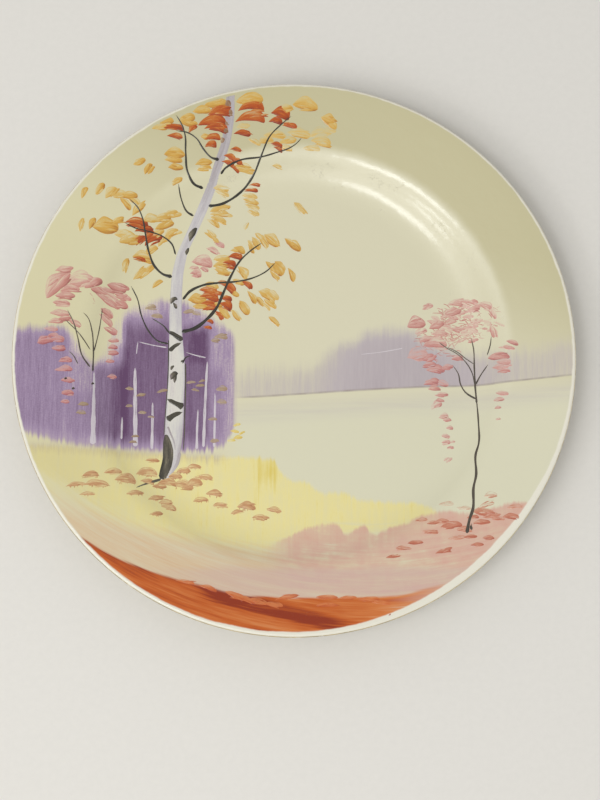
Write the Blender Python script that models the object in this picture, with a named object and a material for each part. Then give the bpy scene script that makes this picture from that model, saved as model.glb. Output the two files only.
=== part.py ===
"""Hand painted ceramic plate: a turned body and foot ring, their glazes, the painted ground and a gilt lip.

Metres, +Z up. The plate stands on its foot ring at z = 0, and its axis is the Z axis.
Each piece is a loop drawn in the XZ plane and turned round Z by a Screw modifier. The loops all
come from one line, the skin of the glaze, so that the pieces keep fitting when a size changes.
"""

import math
from collections import namedtuple

import bpy
from mathutils import Vector

# Overall sizes
PLATE_DIAMETER = 0.254
FOOT_HEIGHT = 0.0032
BASE_WALL = 0.0044
LIP_WALL = 0.0024

# Face of the plate, from its centre outwards
WELL_RADIUS = 0.075
CAVETTO_RADIUS = 0.032
WALL_SLOPE = math.radians(32)
SHOULDER_RADIUS = 0.024
FLANGE_SLOPE = math.radians(12)

# Foot ring, tapered towards the table
FOOT_INSET = 0.0025
FOOT_WIDTH_AT_BASE = 0.0046
FOOT_WIDTH_AT_TABLE = 0.0030
FOOT_EDGE_ROUND = 0.0005

# Coats, each laid on what is under it with a thin seam between
SEAM = 0.0001
GLAZE_COAT = 0.00025
PAINT_COAT = 0.00015
PAINT_MARGIN = 0.0025
GILT_TOP_SLOPE = math.radians(-32)
GILT_BOTTOM_SLOPE = math.radians(-142)

# How finely the round stretches are divided
TURNED_SEGMENTS = 60
CAVETTO_STEPS = 5
SHOULDER_STEPS = 4
LIP_TOP_STEPS = 2
LIP_UNDER_STEPS = 2
GILT_STEPS = 5

REPEAT_DISTANCE = 0.00001

# A place on the skin of the glaze, as (radius, height), and the way the skin faces there
Station = namedtuple("Station", "place facing")


def facing_of(slope):
    """Unit normal of a skin that climbs outwards at this slope; past a right angle it faces down."""
    return Vector((-math.sin(slope), math.cos(slope)))


def between(start, end, steps):
    """Values from start to end in equal steps, without start itself."""
    return [start + (end - start) * i / steps for i in range(1, steps + 1)]


def arc(centre, radius, slopes):
    """Stations on a round stretch; a negative radius makes it hollow."""
    return [Station(centre + radius * facing_of(s), facing_of(s)) for s in slopes]


def centre_under(station, radius):
    """Centre of a round stretch that leaves this station without a corner."""
    return station.place - radius * station.facing


def up_the_flange(start, radius):
    """Station on the straight flange at this radius."""
    run = radius - start.place.x
    return Station(start.place + Vector((run, run * math.tan(FLANGE_SLOPE))), start.facing)


def face_stations():
    """The face from the axis to the start of the lip: level well, cavetto, shoulder, flange."""
    well_floor = FOOT_HEIGHT + BASE_WALL
    face = [
        Station(Vector((0, well_floor)), facing_of(0)),
        Station(Vector((WELL_RADIUS, well_floor)), facing_of(0)),
    ]
    hollow = centre_under(face[-1], -CAVETTO_RADIUS)
    face += arc(hollow, -CAVETTO_RADIUS, between(0, WALL_SLOPE, CAVETTO_STEPS))
    shoulder = centre_under(face[-1], SHOULDER_RADIUS)
    face += arc(shoulder, SHOULDER_RADIUS, between(WALL_SLOPE, FLANGE_SLOPE, SHOULDER_STEPS))
    lip_radius = LIP_WALL / 2
    lip_start = PLATE_DIAMETER / 2 - lip_radius + lip_radius * face[-1].facing.x
    return face + [up_the_flange(face[-1], lip_start)]


def back_stations(face):
    """The underside from the lip in to the edge of the well; the wall thins evenly towards the lip."""
    flange_reach = face[-1].place.x - WELL_RADIUS
    back = []
    for station in reversed(face[1:]):
        share = (station.place.x - WELL_RADIUS) / flange_reach
        wall = BASE_WALL + (LIP_WALL - BASE_WALL) * share
        back.append(Station(centre_under(station, wall), -station.facing))
    return back


def base_station(radius):
    """A place on the level underside of the base."""
    return Station(Vector((radius, FOOT_HEIGHT)), facing_of(math.pi))


def offset(stations, height):
    """The line this high over the skin, or under it when height is negative, and never past the axis."""
    line = [s.place + height * s.facing for s in stations]
    return [Vector((max(p.x, 0.0), p.y)) for p in line]


def coat(stations, top, thickness):
    """Loop round a coat: out along its top, then back along its underside."""
    return offset(stations, top) + offset(stations, top - thickness)[::-1]


def material_of(name, colour, roughness, metallic=0.0):
    """Principled material in the piece's own colour."""
    material = bpy.data.materials.new(name)
    material.use_nodes = True
    shader = material.node_tree.nodes["Principled BSDF"]
    shader.inputs["Base Color"].default_value = (*colour, 1.0)
    shader.inputs["Roughness"].default_value = roughness
    shader.inputs["Metallic"].default_value = metallic
    return material


def turned(name, loop, material, plate):
    """A solid turned from a loop that runs clockwise, seen with Z up and X to the right.

    An edge of the loop that lies on the axis sweeps nothing, so it is left out.
    """
    points = [p for i, p in enumerate(loop) if (p - loop[i - 1]).length > REPEAT_DISTANCE]
    ends = [(i, (i + 1) % len(points)) for i in range(len(points))]
    edges = [(a, b) for a, b in ends if points[a].x > 0 or points[b].x > 0]
    mesh = bpy.data.meshes.new(name)
    mesh.from_pydata([(p.x, 0.0, p.y) for p in points], edges, [])
    mesh.materials.append(material)
    piece = bpy.data.objects.new(name, mesh)
    bpy.context.scene.collection.objects.link(piece)
    piece.parent = plate
    turn = piece.modifiers.new("turn", "SCREW")
    turn.axis = "Z"
    turn.angle = 2 * math.pi
    turn.steps = TURNED_SEGMENTS
    turn.render_steps = TURNED_SEGMENTS
    turn.use_merge_vertices = True
    turn.merge_threshold = REPEAT_DISTANCE
    turn.use_smooth_shade = True


def build_clay(skin, foot_inner, foot_outer, plate):
    """The fired clay under the glaze, and the bare foot ring with its eased edges."""
    biscuit = material_of("biscuit", (0.78, 0.75, 0.69), 0.75)
    turned("plate_body", offset(skin, -GLAZE_COAT - SEAM), biscuit, plate)
    taper = (FOOT_WIDTH_AT_BASE - FOOT_WIDTH_AT_TABLE) / 2
    foot_top = FOOT_HEIGHT + GLAZE_COAT
    ring = [
        Vector((foot_inner, foot_top)),
        Vector((foot_outer, foot_top)),
        Vector((foot_outer, FOOT_HEIGHT)),
        Vector((foot_outer - taper, FOOT_EDGE_ROUND)),
        Vector((foot_outer - taper - FOOT_EDGE_ROUND, 0.0)),
        Vector((foot_inner + taper + FOOT_EDGE_ROUND, 0.0)),
        Vector((foot_inner + taper, FOOT_EDGE_ROUND)),
        Vector((foot_inner, FOOT_HEIGHT)),
    ]
    turned("foot_ring", ring, biscuit, plate)


def build_face_coats(face, lip_top, plate):
    """The glaze of the face, which runs over the lip's top, and the painted ground that stops short of it."""
    white = material_of("face_glaze", (0.86, 0.85, 0.80), 0.12)
    cream = material_of("painted_ground", (0.66, 0.62, 0.42), 0.15)
    turned("face_glaze", coat(face + lip_top, 0.0, GLAZE_COAT), white, plate)
    painted = face[:-1] + [up_the_flange(face[-2], PLATE_DIAMETER / 2 - PAINT_MARGIN)]
    turned("painted_ground", coat(painted, SEAM + PAINT_COAT, PAINT_COAT), cream, plate)


def build_back_coats(lip_under, back, foot_inner, foot_outer, plate):
    """The glaze of the underside, parted by the bare foot ring."""
    white = material_of("back_glaze", (0.86, 0.85, 0.80), 0.12)
    outside = lip_under + back + [base_station(foot_outer + SEAM)]
    inside = [base_station(foot_inner - SEAM), base_station(0.0)]
    turned("back_glaze", coat(outside, 0.0, GLAZE_COAT), white, plate)
    turned("base_glaze", coat(inside, 0.0, GLAZE_COAT), white, plate)


def build_gilding(gilt, plate):
    """The gold line round the lip, between the glaze of the face and that of the back."""
    gold = material_of("gilding", (0.80, 0.60, 0.25), 0.28, metallic=1.0)
    turned("gilt_rim", coat(gilt, 0.0, GLAZE_COAT), gold, plate)


def build_plate():
    """Clears the scene, then makes every piece of the plate under one empty."""
    for thing in list(bpy.data.objects):
        bpy.data.objects.remove(thing)
    plate = bpy.data.objects.new("plate", None)
    bpy.context.scene.collection.objects.link(plate)

    face = face_stations()
    back = back_stations(face)
    foot_outer = WELL_RADIUS - FOOT_INSET
    foot_inner = foot_outer - FOOT_WIDTH_AT_BASE

    lip_radius = LIP_WALL / 2
    lip = centre_under(face[-1], lip_radius)
    seam_slope = SEAM / lip_radius
    top_end = GILT_TOP_SLOPE + seam_slope
    under_start = GILT_BOTTOM_SLOPE - seam_slope
    under_end = FLANGE_SLOPE - math.pi
    lip_top = arc(lip, lip_radius, between(FLANGE_SLOPE, top_end, LIP_TOP_STEPS))
    gilt_slopes = [GILT_TOP_SLOPE] + between(GILT_TOP_SLOPE, GILT_BOTTOM_SLOPE, GILT_STEPS)
    gilt = arc(lip, lip_radius, gilt_slopes)
    under_slopes = [under_start] + between(under_start, under_end, LIP_UNDER_STEPS)[:-1]
    lip_under = arc(lip, lip_radius, under_slopes)

    build_clay(face + lip_top + gilt + lip_under + back + [base_station(0.0)],
               foot_inner, foot_outer, plate)
    build_face_coats(face, lip_top, plate)
    build_back_coats(lip_under, back, foot_inner, foot_outer, plate)
    build_gilding(gilt, plate)


build_plate()
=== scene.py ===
"""Hand painted ceramic plate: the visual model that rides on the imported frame.

Metres, +Z up, in the same frame as the CAD. The plate stands on its foot ring at z = 0, and its
axis is the Z axis. Places on the painted face are given in plate millimetres: x to the right of
the picture and y to its top.
"""

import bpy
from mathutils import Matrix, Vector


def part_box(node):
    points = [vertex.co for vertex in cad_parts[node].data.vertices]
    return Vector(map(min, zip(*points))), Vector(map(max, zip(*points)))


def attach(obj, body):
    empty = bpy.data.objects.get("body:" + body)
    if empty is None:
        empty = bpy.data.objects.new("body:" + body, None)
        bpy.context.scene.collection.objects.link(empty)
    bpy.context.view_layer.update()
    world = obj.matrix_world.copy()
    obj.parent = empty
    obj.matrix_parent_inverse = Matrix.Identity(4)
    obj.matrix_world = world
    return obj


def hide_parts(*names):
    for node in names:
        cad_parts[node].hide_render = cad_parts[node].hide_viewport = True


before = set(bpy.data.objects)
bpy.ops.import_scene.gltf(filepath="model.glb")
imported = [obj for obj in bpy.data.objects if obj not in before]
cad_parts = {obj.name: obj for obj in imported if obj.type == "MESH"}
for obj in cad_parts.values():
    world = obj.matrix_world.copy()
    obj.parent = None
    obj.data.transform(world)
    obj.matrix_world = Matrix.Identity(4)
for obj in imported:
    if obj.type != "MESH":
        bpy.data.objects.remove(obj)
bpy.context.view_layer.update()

import math

import bmesh
import bpy
import numpy as np
from bpy.props import FloatProperty, FloatVectorProperty, IntProperty, PointerProperty
from mathutils import Matrix, Vector

bl_info = {
    "name": "Hand painted ceramic plate",
    "version": (1, 0, 0),
    "blender": (4, 5, 0),
    "location": "View3D > Sidebar > Plate",
    "description": "Builds the glazed, painted and gilded plate on its packed frame",
    "category": "Object",
}

MM = 0.001

# How finely the turned pieces and the strokes are made
TURN_SEGMENTS = 288
LEVEL_STEPS = 16
HOLLOW_STEPS = 22
SHOULDER_STEPS = 14
FLANGE_STEPS = 10
LIP_STEPS = 8
GILT_STEPS = 12
SHARP_EDGE = math.radians(38)
LIP_TURN = math.radians(-50)

# Raised paint, in plate millimetres
FILM = 0.12
FILM_EDGE = 0.02
FILM_TAPER = 2.5
FILM_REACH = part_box("painted_ground")[1][0] / MM
SINK = 0.012
UNDERSIDE = 0.03
LAST_STROKE = 124.6

# Grid that the edges of the washes are drawn on, and where the painting may reach, in millimetres
WASH_GRID = (-130, 130)
FACE_RADIUS = 127.0

# Coats, the film's root and the foot, in metres, and slopes round the lip
BACK_LIP_TURN = math.radians(-140)
GILT_START = LIP_TURN + math.radians(4)
GILT_END = math.radians(-146)
GILT_LIFT = 0.00002
GILT_SINK = -0.00001
GILT_DEPTH = -0.00020
FILM_ROOT = 0.00002
FOOT_EASE = 0.0006
FOOT_EASE_STEPS = 6
AXIS_REACH = 1e-7


def swatch(red, green, blue):
    """Linear colour of a paint swatch given in steps of 0 to 255."""
    steps = np.array([red, green, blue]) / 255
    linear = np.where(steps <= 0.04045, steps / 12.92, ((steps + 0.055) / 1.055) ** 2.4)
    return tuple(float(part) for part in linear)


def colour(name, description, default):
    """A paint or clay colour that a user can change."""
    return FloatVectorProperty(name=name, description=description, subtype="COLOR",
                               default=default, min=0.0, max=1.0)


def size(name, description, default, low=0.0):
    """A length that a user can change."""
    return FloatProperty(name=name, description=description, default=default, min=low,
                         unit="LENGTH", subtype="DISTANCE", precision=5)


def slant(name, description, degrees):
    """An angle that a user can change."""
    return FloatProperty(name=name, description=description, default=math.radians(degrees),
                         subtype="ANGLE", unit="ROTATION")


class PlateShape(bpy.types.PropertyGroup):
    """Sizes of the turned plate and its coats."""

    diameter: size("Diameter", "Across the gilt lip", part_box("gilt_rim")[1][0] * 2)
    foot_height: size("Foot height", "Height of the foot ring", 0.0032)
    base_wall: size("Base wall", "Thickness of the level base", 0.0044)
    lip_wall: size("Lip wall", "Thickness at the lip", 0.0024)
    well_radius: size("Well radius", "Radius of the level well", 0.075)
    cavetto_radius: size("Cavetto radius", "Radius of the hollow round the well", 0.032)
    shoulder_radius: size("Shoulder radius", "Radius of the turn on to the flange", 0.024)
    wall_slope: slant("Wall slope", "Steepest slope of the wall", 32)
    flange_slope: slant("Flange slope", "Slope of the straight flange", 12)
    foot_inset: size("Foot inset", "From the edge of the well in to the foot", 0.0025)
    foot_width_base: size("Foot width at base", "Width where it meets the base", 0.0046)
    foot_width_table: size("Foot width at table", "Width where it stands", 0.0030)
    glaze_coat: size("Glaze coat", "Thickness of the glaze", 0.00025)
    seam: size("Seam", "Gap between one coat and the next", 0.0001)
    paint_margin: size("Paint margin", "From the end of the painted film to the lip", 0.0025)


class PlateColours(bpy.types.PropertyGroup):
    """Colours of the clay, the glaze, the washes and the stroke pigments."""

    porcelain: colour("Porcelain", "Bare white glaze", swatch(226, 222, 208))
    biscuit: colour("Biscuit", "Unglazed clay", swatch(214, 205, 188))
    gold: colour("Gold", "Gilding of the lip", swatch(222, 202, 152))
    cream: colour("Cream ground", "Wash under the sky", swatch(213, 207, 172))
    lake: colour("Lake", "Pale wash of the water", swatch(212, 209, 184))
    violet: colour("Violet", "Light wash of the wood", swatch(158, 137, 166))
    plum: colour("Plum", "Dense wash of the wood", swatch(93, 61, 97))
    haze: colour("Haze", "Wash of the far shore", swatch(184, 174, 177))
    yellow: colour("Yellow", "Wash of the near bank", swatch(226, 214, 148))
    peach: colour("Peach", "Wash below the bank", swatch(210, 182, 148))
    pink: colour("Pink", "Wash of the right bank", swatch(208, 166, 150))
    rust: colour("Rust", "Wash of the foreground", swatch(188, 88, 22))
    burnt: colour("Burnt", "Dense bands of the foreground", swatch(140, 44, 2))


class PlateStage(bpy.types.PropertyGroup):
    """The floor, the lights and the camera."""

    floor: colour("Floor", "Plain pale floor", swatch(222, 219, 214))
    camera_distance: size("Camera distance", "From the plate to the camera", 0.8)
    camera_tilt: slant("Camera tilt", "From straight overhead towards the front", 11.6)
    lens: FloatProperty(name="Lens", description="Focal length", default=79.9, min=1.0,
                        unit="CAMERA")
    seed: IntProperty(name="Hand", description="Seed of the brush hand", default=7, min=0)


# --- Turned line of the plate ---------------------------------------------------------------


def facing_of(slope):
    """Unit normal of a skin that climbs outwards at this slope."""
    return np.array([-math.sin(slope), math.cos(slope)])


def arc_rise(radius, off):
    """Height of a circle's edge over its centre, this far off to the side."""
    return np.sqrt(np.maximum(radius ** 2 - off ** 2, 0))


class TurnedLine:
    """The skin of the glaze as stations of (place, facing), and its height at any radius."""

    def __init__(self, shape):
        self.shape = shape
        self.floor = shape.foot_height + shape.base_wall
        wall, flange = shape.wall_slope, shape.flange_slope
        self.wall_end = shape.well_radius + shape.cavetto_radius * math.sin(wall)
        wall_top = self.floor + shape.cavetto_radius * (1 - math.cos(wall))
        self.turn_centre = np.array([
            self.wall_end + shape.shoulder_radius * math.sin(wall),
            wall_top - shape.shoulder_radius * math.cos(wall),
        ])
        self.flange_start = self.turn_centre[0] - shape.shoulder_radius * math.sin(flange)
        self.flange_foot = self.turn_centre[1] + shape.shoulder_radius * math.cos(flange)
        self.lip_radius = shape.lip_wall / 2
        self.rim_radius = shape.diameter / 2
        self.lip_start = self.rim_radius - self.lip_radius * (1 + math.sin(flange))
        start = np.array([self.lip_start, self.height(self.lip_start)])
        self.lip_centre = start - self.lip_radius * facing_of(flange)

    def height(self, radius):
        """Height of the glazed face at a radius, or at an array of them."""
        shape = self.shape
        reach = np.asarray(radius, float)
        hollow = arc_rise(shape.cavetto_radius, reach - shape.well_radius)
        turn = arc_rise(shape.shoulder_radius, reach - self.turn_centre[0])
        flange = self.flange_foot + (reach - self.flange_start) * math.tan(shape.flange_slope)
        return np.select(
            [reach <= shape.well_radius, reach <= self.wall_end, reach <= self.flange_start],
            [self.floor, self.floor + shape.cavetto_radius - hollow, self.turn_centre[1] + turn],
            flange,
        )

    def slope(self, radius):
        """Slope of the glazed face at a radius."""
        shape = self.shape
        if radius <= shape.well_radius:
            return 0.0
        if radius <= self.wall_end:
            return math.asin((radius - shape.well_radius) / shape.cavetto_radius)
        if radius <= self.flange_start:
            return math.asin((self.turn_centre[0] - radius) / shape.shoulder_radius)
        return shape.flange_slope

    def radii(self, last):
        """Radii from the axis to the last one, closer together where the skin bends."""
        shape = self.shape
        stops = [
            (0.0, shape.well_radius, LEVEL_STEPS),
            (shape.well_radius, self.wall_end, HOLLOW_STEPS),
            (self.wall_end, self.flange_start, SHOULDER_STEPS),
            (self.flange_start, last, FLANGE_STEPS),
        ]
        found = [0.0]
        for start, end, steps in stops:
            found += list(np.linspace(start, end, steps + 1)[1:])
        return found

    def face(self, last, lift=0.0):
        """Line over the face from the axis to a radius, this high over the glaze."""
        lifts = lift if callable(lift) else (lambda radius: lift)
        line = []
        for radius in self.radii(last):
            place = np.array([radius, float(self.height(radius))])
            line.append(place + lifts(radius) * facing_of(self.slope(radius)))
        line[0][0] = 0.0
        return line

    def lip(self, start, end, steps, lift=0.0):
        """Line round the lip from one slope to another."""
        slopes = np.linspace(start, end, steps + 1)
        return [self.lip_centre + (self.lip_radius + lift) * facing_of(s) for s in slopes]

    def back(self, lift=0.0):
        """Line along the underside from the lip in to the edge of the well."""
        shape = self.shape
        span = self.lip_start - shape.well_radius
        line = []
        for radius in reversed([r for r in self.radii(self.lip_start) if r >= shape.well_radius]):
            share = (radius - shape.well_radius) / span
            wall = shape.base_wall + (shape.lip_wall - shape.base_wall) * share
            place = np.array([radius, float(self.height(radius))])
            line.append(place - (wall + lift) * facing_of(self.slope(radius)))
        return line


# --- Meshes ---------------------------------------------------------------------------------


def placed(mesh, name, material, replaced=(), slot=None):
    """Puts a finished mesh in the scene as a piece that rides on the plate."""
    mesh.materials.append(material)
    mesh.shade_smooth()
    mesh.set_sharp_from_angle(angle=SHARP_EDGE)
    piece = bpy.data.objects.new(name, mesh)
    bpy.context.scene.collection.objects.link(piece)
    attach(piece, "root")
    if replaced:
        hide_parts(*replaced)
    return piece


def turned_mesh(name, loop):
    """A solid of revolution from a loop that runs clockwise, with Z up and X to the right."""
    points, faces, rings = [], [], []
    angles = np.linspace(0, 2 * math.pi, TURN_SEGMENTS, endpoint=False)
    for radius, height in loop:
        start = len(points)
        if radius < AXIS_REACH:
            points.append((0.0, 0.0, height))
            rings.append([start] * TURN_SEGMENTS)
            continue
        points += [(radius * math.cos(a), radius * math.sin(a), height) for a in angles]
        rings.append(list(range(start, start + TURN_SEGMENTS)))
    for first, second in zip(rings, rings[1:] + rings[:1]):
        for i in range(TURN_SEGMENTS):
            j = (i + 1) % TURN_SEGMENTS
            corners = list(dict.fromkeys([first[i], first[j], second[j], second[i]]))
            if len(corners) > 2:
                faces.append(corners[::-1])
    mesh = bpy.data.meshes.new(name)
    mesh.from_pydata(points, [], faces)
    mesh.validate()
    return mesh


class StrokeSheet:
    """Gathers brush strokes as thin closed lenses on the painted face, then makes one mesh.

    Each stroke is a grid of places in plate millimetres. cover is how far the pigment hides the
    ground, depth how densely it lies, and hair how far across the brush a place was painted.
    """

    def __init__(self, line):
        self.line = line
        self.points, self.faces, self.count = [], [], 0
        self.traits = {"cover": [], "depth": [], "hair": []}

    def surface(self, across, up):
        """Height of the painted face in millimetres under places in plate millimetres."""
        reach = np.hypot(across, up)
        return self.line.height(reach * MM) / MM + film_at(reach)

    def lay(self, across, up, lift, cover, depth, hair):
        """Adds one stroke from its grids."""
        rows, columns = across.shape
        reach = np.maximum(np.hypot(across, up), 1.0)
        inward = np.minimum(1.0, LAST_STROKE / reach)
        across, up = across * inward, up * inward
        base = self.surface(across, up)
        rim = np.ones((rows, columns), bool)
        rim[1:-1, 1:-1] = False
        top = np.where(rim, base - SINK, base + lift)
        over = self.count + np.arange(rows * columns).reshape(rows, columns)
        self.points.append(np.stack([across, up, top], -1).reshape(-1, 3))
        under = over.copy()
        inner = ~rim
        hidden = int(inner.sum())
        under[inner] = self.count + rows * columns + np.arange(hidden)
        self.points.append(np.stack([across, up, base - UNDERSIDE], -1)[inner])
        self.count += rows * columns + hidden
        for grid, flip in ((over, False), (under, True)):
            quads = np.stack([grid[:-1, :-1], grid[1:, :-1], grid[1:, 1:], grid[:-1, 1:]], -1)
            quads = quads.reshape(-1, 4)
            self.faces.append(quads[:, ::-1] if flip else quads)
        for name, value in (("cover", cover), ("depth", depth), ("hair", hair)):
            full = np.broadcast_to(value, (rows, columns))
            self.traits[name] += [full.ravel(), full[inner]]

    def made(self, name, material, **riding):
        """The strokes as one piece."""
        faces = np.concatenate(self.faces)
        points = np.concatenate(self.points) * MM
        mesh = bpy.data.meshes.new(name)
        mesh.from_pydata(points.tolist(), [], faces.tolist())
        for trait, parts in self.traits.items():
            layer = mesh.attributes.new(trait, "FLOAT", "POINT")
            layer.data.foreach_set("value", np.concatenate(parts).astype(np.float32))
        turn_outwards(mesh)
        return placed(mesh, name, material, **riding)


def turn_outwards(mesh):
    """Makes every stroke's faces point out of it."""
    work = bmesh.new()
    work.from_mesh(mesh)
    bmesh.ops.recalc_face_normals(work, faces=work.faces)
    work.to_mesh(mesh)
    work.free()


def film_at(reach):
    """Thickness of the painted film at a distance from the axis, both in millimetres."""
    share = np.clip((FILM_REACH - reach) / FILM_TAPER, 0, 1)
    return FILM_EDGE + (FILM - FILM_EDGE) * share


def smooth_step(low, high, value):
    """0 at low and 1 at high, with a soft change between."""
    share = np.clip((value - low) / (high - low), 0, 1)
    return share * share * (3 - 2 * share)


LEAF_GRID = (np.linspace(0, 1, 15)[:, None],
             np.array([-1, -0.93, -0.8, -0.55, -0.2, 0.2, 0.55, 0.8, 0.93, 1])[None, :])
HAIR_GRID = (np.linspace(0, 1, 9)[:, None], np.array([-1, -0.8, -0.3, 0.3, 0.8, 1])[None, :])


def lay_leaf(sheet, hand, place, length, width, tilt, load=0.6, height=0.07, rise=None, arch=0.14,
             cut=0.0, grid=LEAF_GRID):
    """One dab of a round brush: nearly flat below and rounded above, with its pigment pooled.

    The load is thin along the rounded side and runs to a dense line along the flat side and
    towards the lifted end. arch rounds its upper side, and cut squares its lifted end. It gives
    back the route of its lower edge.
    """
    along, across = grid
    peak = hand.uniform(0.36, 0.60) + 0.16 * cut
    swell = np.sin(math.pi / 2 * np.minimum(along / peak, 1)) ** hand.uniform(0.75, 1.1)
    fall = np.maximum(along - peak, 0) / (1 - peak)
    half = width / 2 * (0.03 + swell * (1 - fall ** (2.2 + 2.4 * cut)) ** 0.6)
    ripple = hand.uniform(0, 2 * math.pi, 3)
    half = half * (1 + 0.10 * np.sin(along * 9 + ripple[0] + across) * np.abs(across))
    fullness = arch + hand.uniform(-0.08, 0.10)
    spine = (arch + hand.uniform(-0.12, 0.12)) * width * (0.4 - (2 * along - 1) ** 2)
    x = (along - 0.5) * length + 0.04 * width * across ** 2
    y = spine + half * (across + fullness * across ** 2)
    turn = math.radians(tilt)
    far = place[0] + x * math.cos(turn) - y * math.sin(turn)
    up = place[1] + x * math.sin(turn) + y * math.cos(turn)
    side = np.abs(across)
    ends = np.sin(math.pi * np.clip(along, 0.02, 0.98)) ** 0.4
    pooled = 0.62 * smooth_step(0.15, 0.90, -across) + 0.24 * smooth_step(0.78, 0.97, across)
    pooled = pooled + 0.46 * smooth_step(0.60, 0.97, along) - 0.34 * smooth_step(0.0, 0.6, across)
    depth = np.clip(load * (0.74 + pooled + 0.12 * np.sin(along * 5 + ripple[2])), 0, 1)
    cover = (1 - smooth_step(0.90, 1.0, side)) * (1 - 0.45 * smooth_step(0.20, 0.0, along))
    cover = cover * (1 - (0.30 - 0.25 * cut) * smooth_step(0.78, 1.0, along))
    hair = hand.uniform(0, 90) + across * width / 2
    lifted = hand.uniform(0.01, 0.06) if rise is None else rise
    sheet.lay(far, up, (lifted * (1 - side ** 8) + height * (1 - side ** 2.4)) * ends,
              cover, depth, hair + 0 * along)
    spots = np.linspace(len(along) - 2, 2, 5).astype(int)
    return [(far[i, 1], up[i, 1]) for i in spots]


def smooth_route(points, steps):
    """A rounded line through the points, and how far along it each place is from 0 to 1."""
    knots = np.array(points, float)
    reach = np.concatenate([[0], np.cumsum(np.hypot(*np.diff(knots[:, :2], axis=0).T))])
    where = np.linspace(0, reach[-1], steps)
    tangents = np.gradient(knots, reach, axis=0)
    spot = np.clip(np.searchsorted(reach, where, side="right") - 1, 0, len(reach) - 2)
    span = (reach[spot + 1] - reach[spot])[:, None]
    t = ((where - reach[spot]) / span[:, 0])[:, None]
    start, end = knots[spot], knots[spot + 1]
    pull, push = tangents[spot] * span, tangents[spot + 1] * span
    line = ((2 * t ** 3 - 3 * t ** 2 + 1) * start + (t ** 3 - 2 * t ** 2 + t) * pull
            + (3 * t ** 2 - 2 * t ** 3) * end + (t ** 3 - t ** 2) * push)
    return line, where / reach[-1]


LINE_ACROSS = np.array([-1, -0.82, -0.5, 0, 0.5, 0.82, 1])[None, :]


def lay_line(sheet, hand, points, wide, narrow, load=0.8, knob=0.0, height=0.07, rise=0.0):
    """One drawn stroke of a liner brush, thick at its start and lifted to a thin end."""
    length = float(np.sum(np.hypot(*np.diff(np.array(points, float), axis=0).T)))
    steps = max(12, int(length / 0.9))
    line, share = smooth_route(points, steps)
    run = np.gradient(line, axis=0)
    run /= np.maximum(np.hypot(run[:, 0], run[:, 1])[:, None], 1e-9)
    side = np.stack([-run[:, 1], run[:, 0]], -1)
    width = narrow + (wide - narrow) * (1 - share) ** 0.8
    width = width + knob * np.exp(-((share * length) / 1.6) ** 2)
    width = width * (1 + 0.12 * np.sin(share * length * 0.7 + hand.uniform(0, 6)))
    width = width * (0.25 + 0.75 * smooth_step(0, 0.9, share * length))
    width = width * (0.12 + 0.88 * smooth_step(0, 2.0, (1 - share) * length))
    offset = width[:, None] / 2 * LINE_ACROSS
    far = line[:, :1] + side[:, :1] * offset
    up = line[:, 1:2] + side[:, 1:2] * offset
    rounded = (1 - LINE_ACROSS ** 2) + 0 * offset
    along, aside = share[:, None], np.abs(LINE_ACROSS)
    cover = (1 - smooth_step(0.80, 1.0, aside)) * (0.55 + 0.45 * (1 - along ** 3))
    depth = np.clip(load * (0.85 + 0.15 * aside) * (1.08 - 0.28 * along), 0, 1)
    lift = height * rounded * np.minimum(width[:, None], 1.0) + rise * (1 - LINE_ACROSS ** 8)
    sheet.lay(far, up, lift, cover, depth, hand.uniform(0, 90) + offset)


# --- Materials ------------------------------------------------------------------------------

# Roughness of the fired glaze, painted and bare
FACE_GLOSS, BACK_GLOSS = 0.15, 0.12


class Signal:
    """An output of a node that can be added to and scaled like a number."""

    def __init__(self, desk, socket):
        self.desk, self.socket = desk, socket

    def __add__(self, other):
        return self.desk.math("ADD", self, other)

    def __sub__(self, other):
        return self.desk.math("SUBTRACT", self, other)

    def __rsub__(self, other):
        return self.desk.math("SUBTRACT", other, self)

    def __mul__(self, other):
        return self.desk.math("MULTIPLY", self, other)

    __radd__ = __add__
    __rmul__ = __mul__


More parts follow.
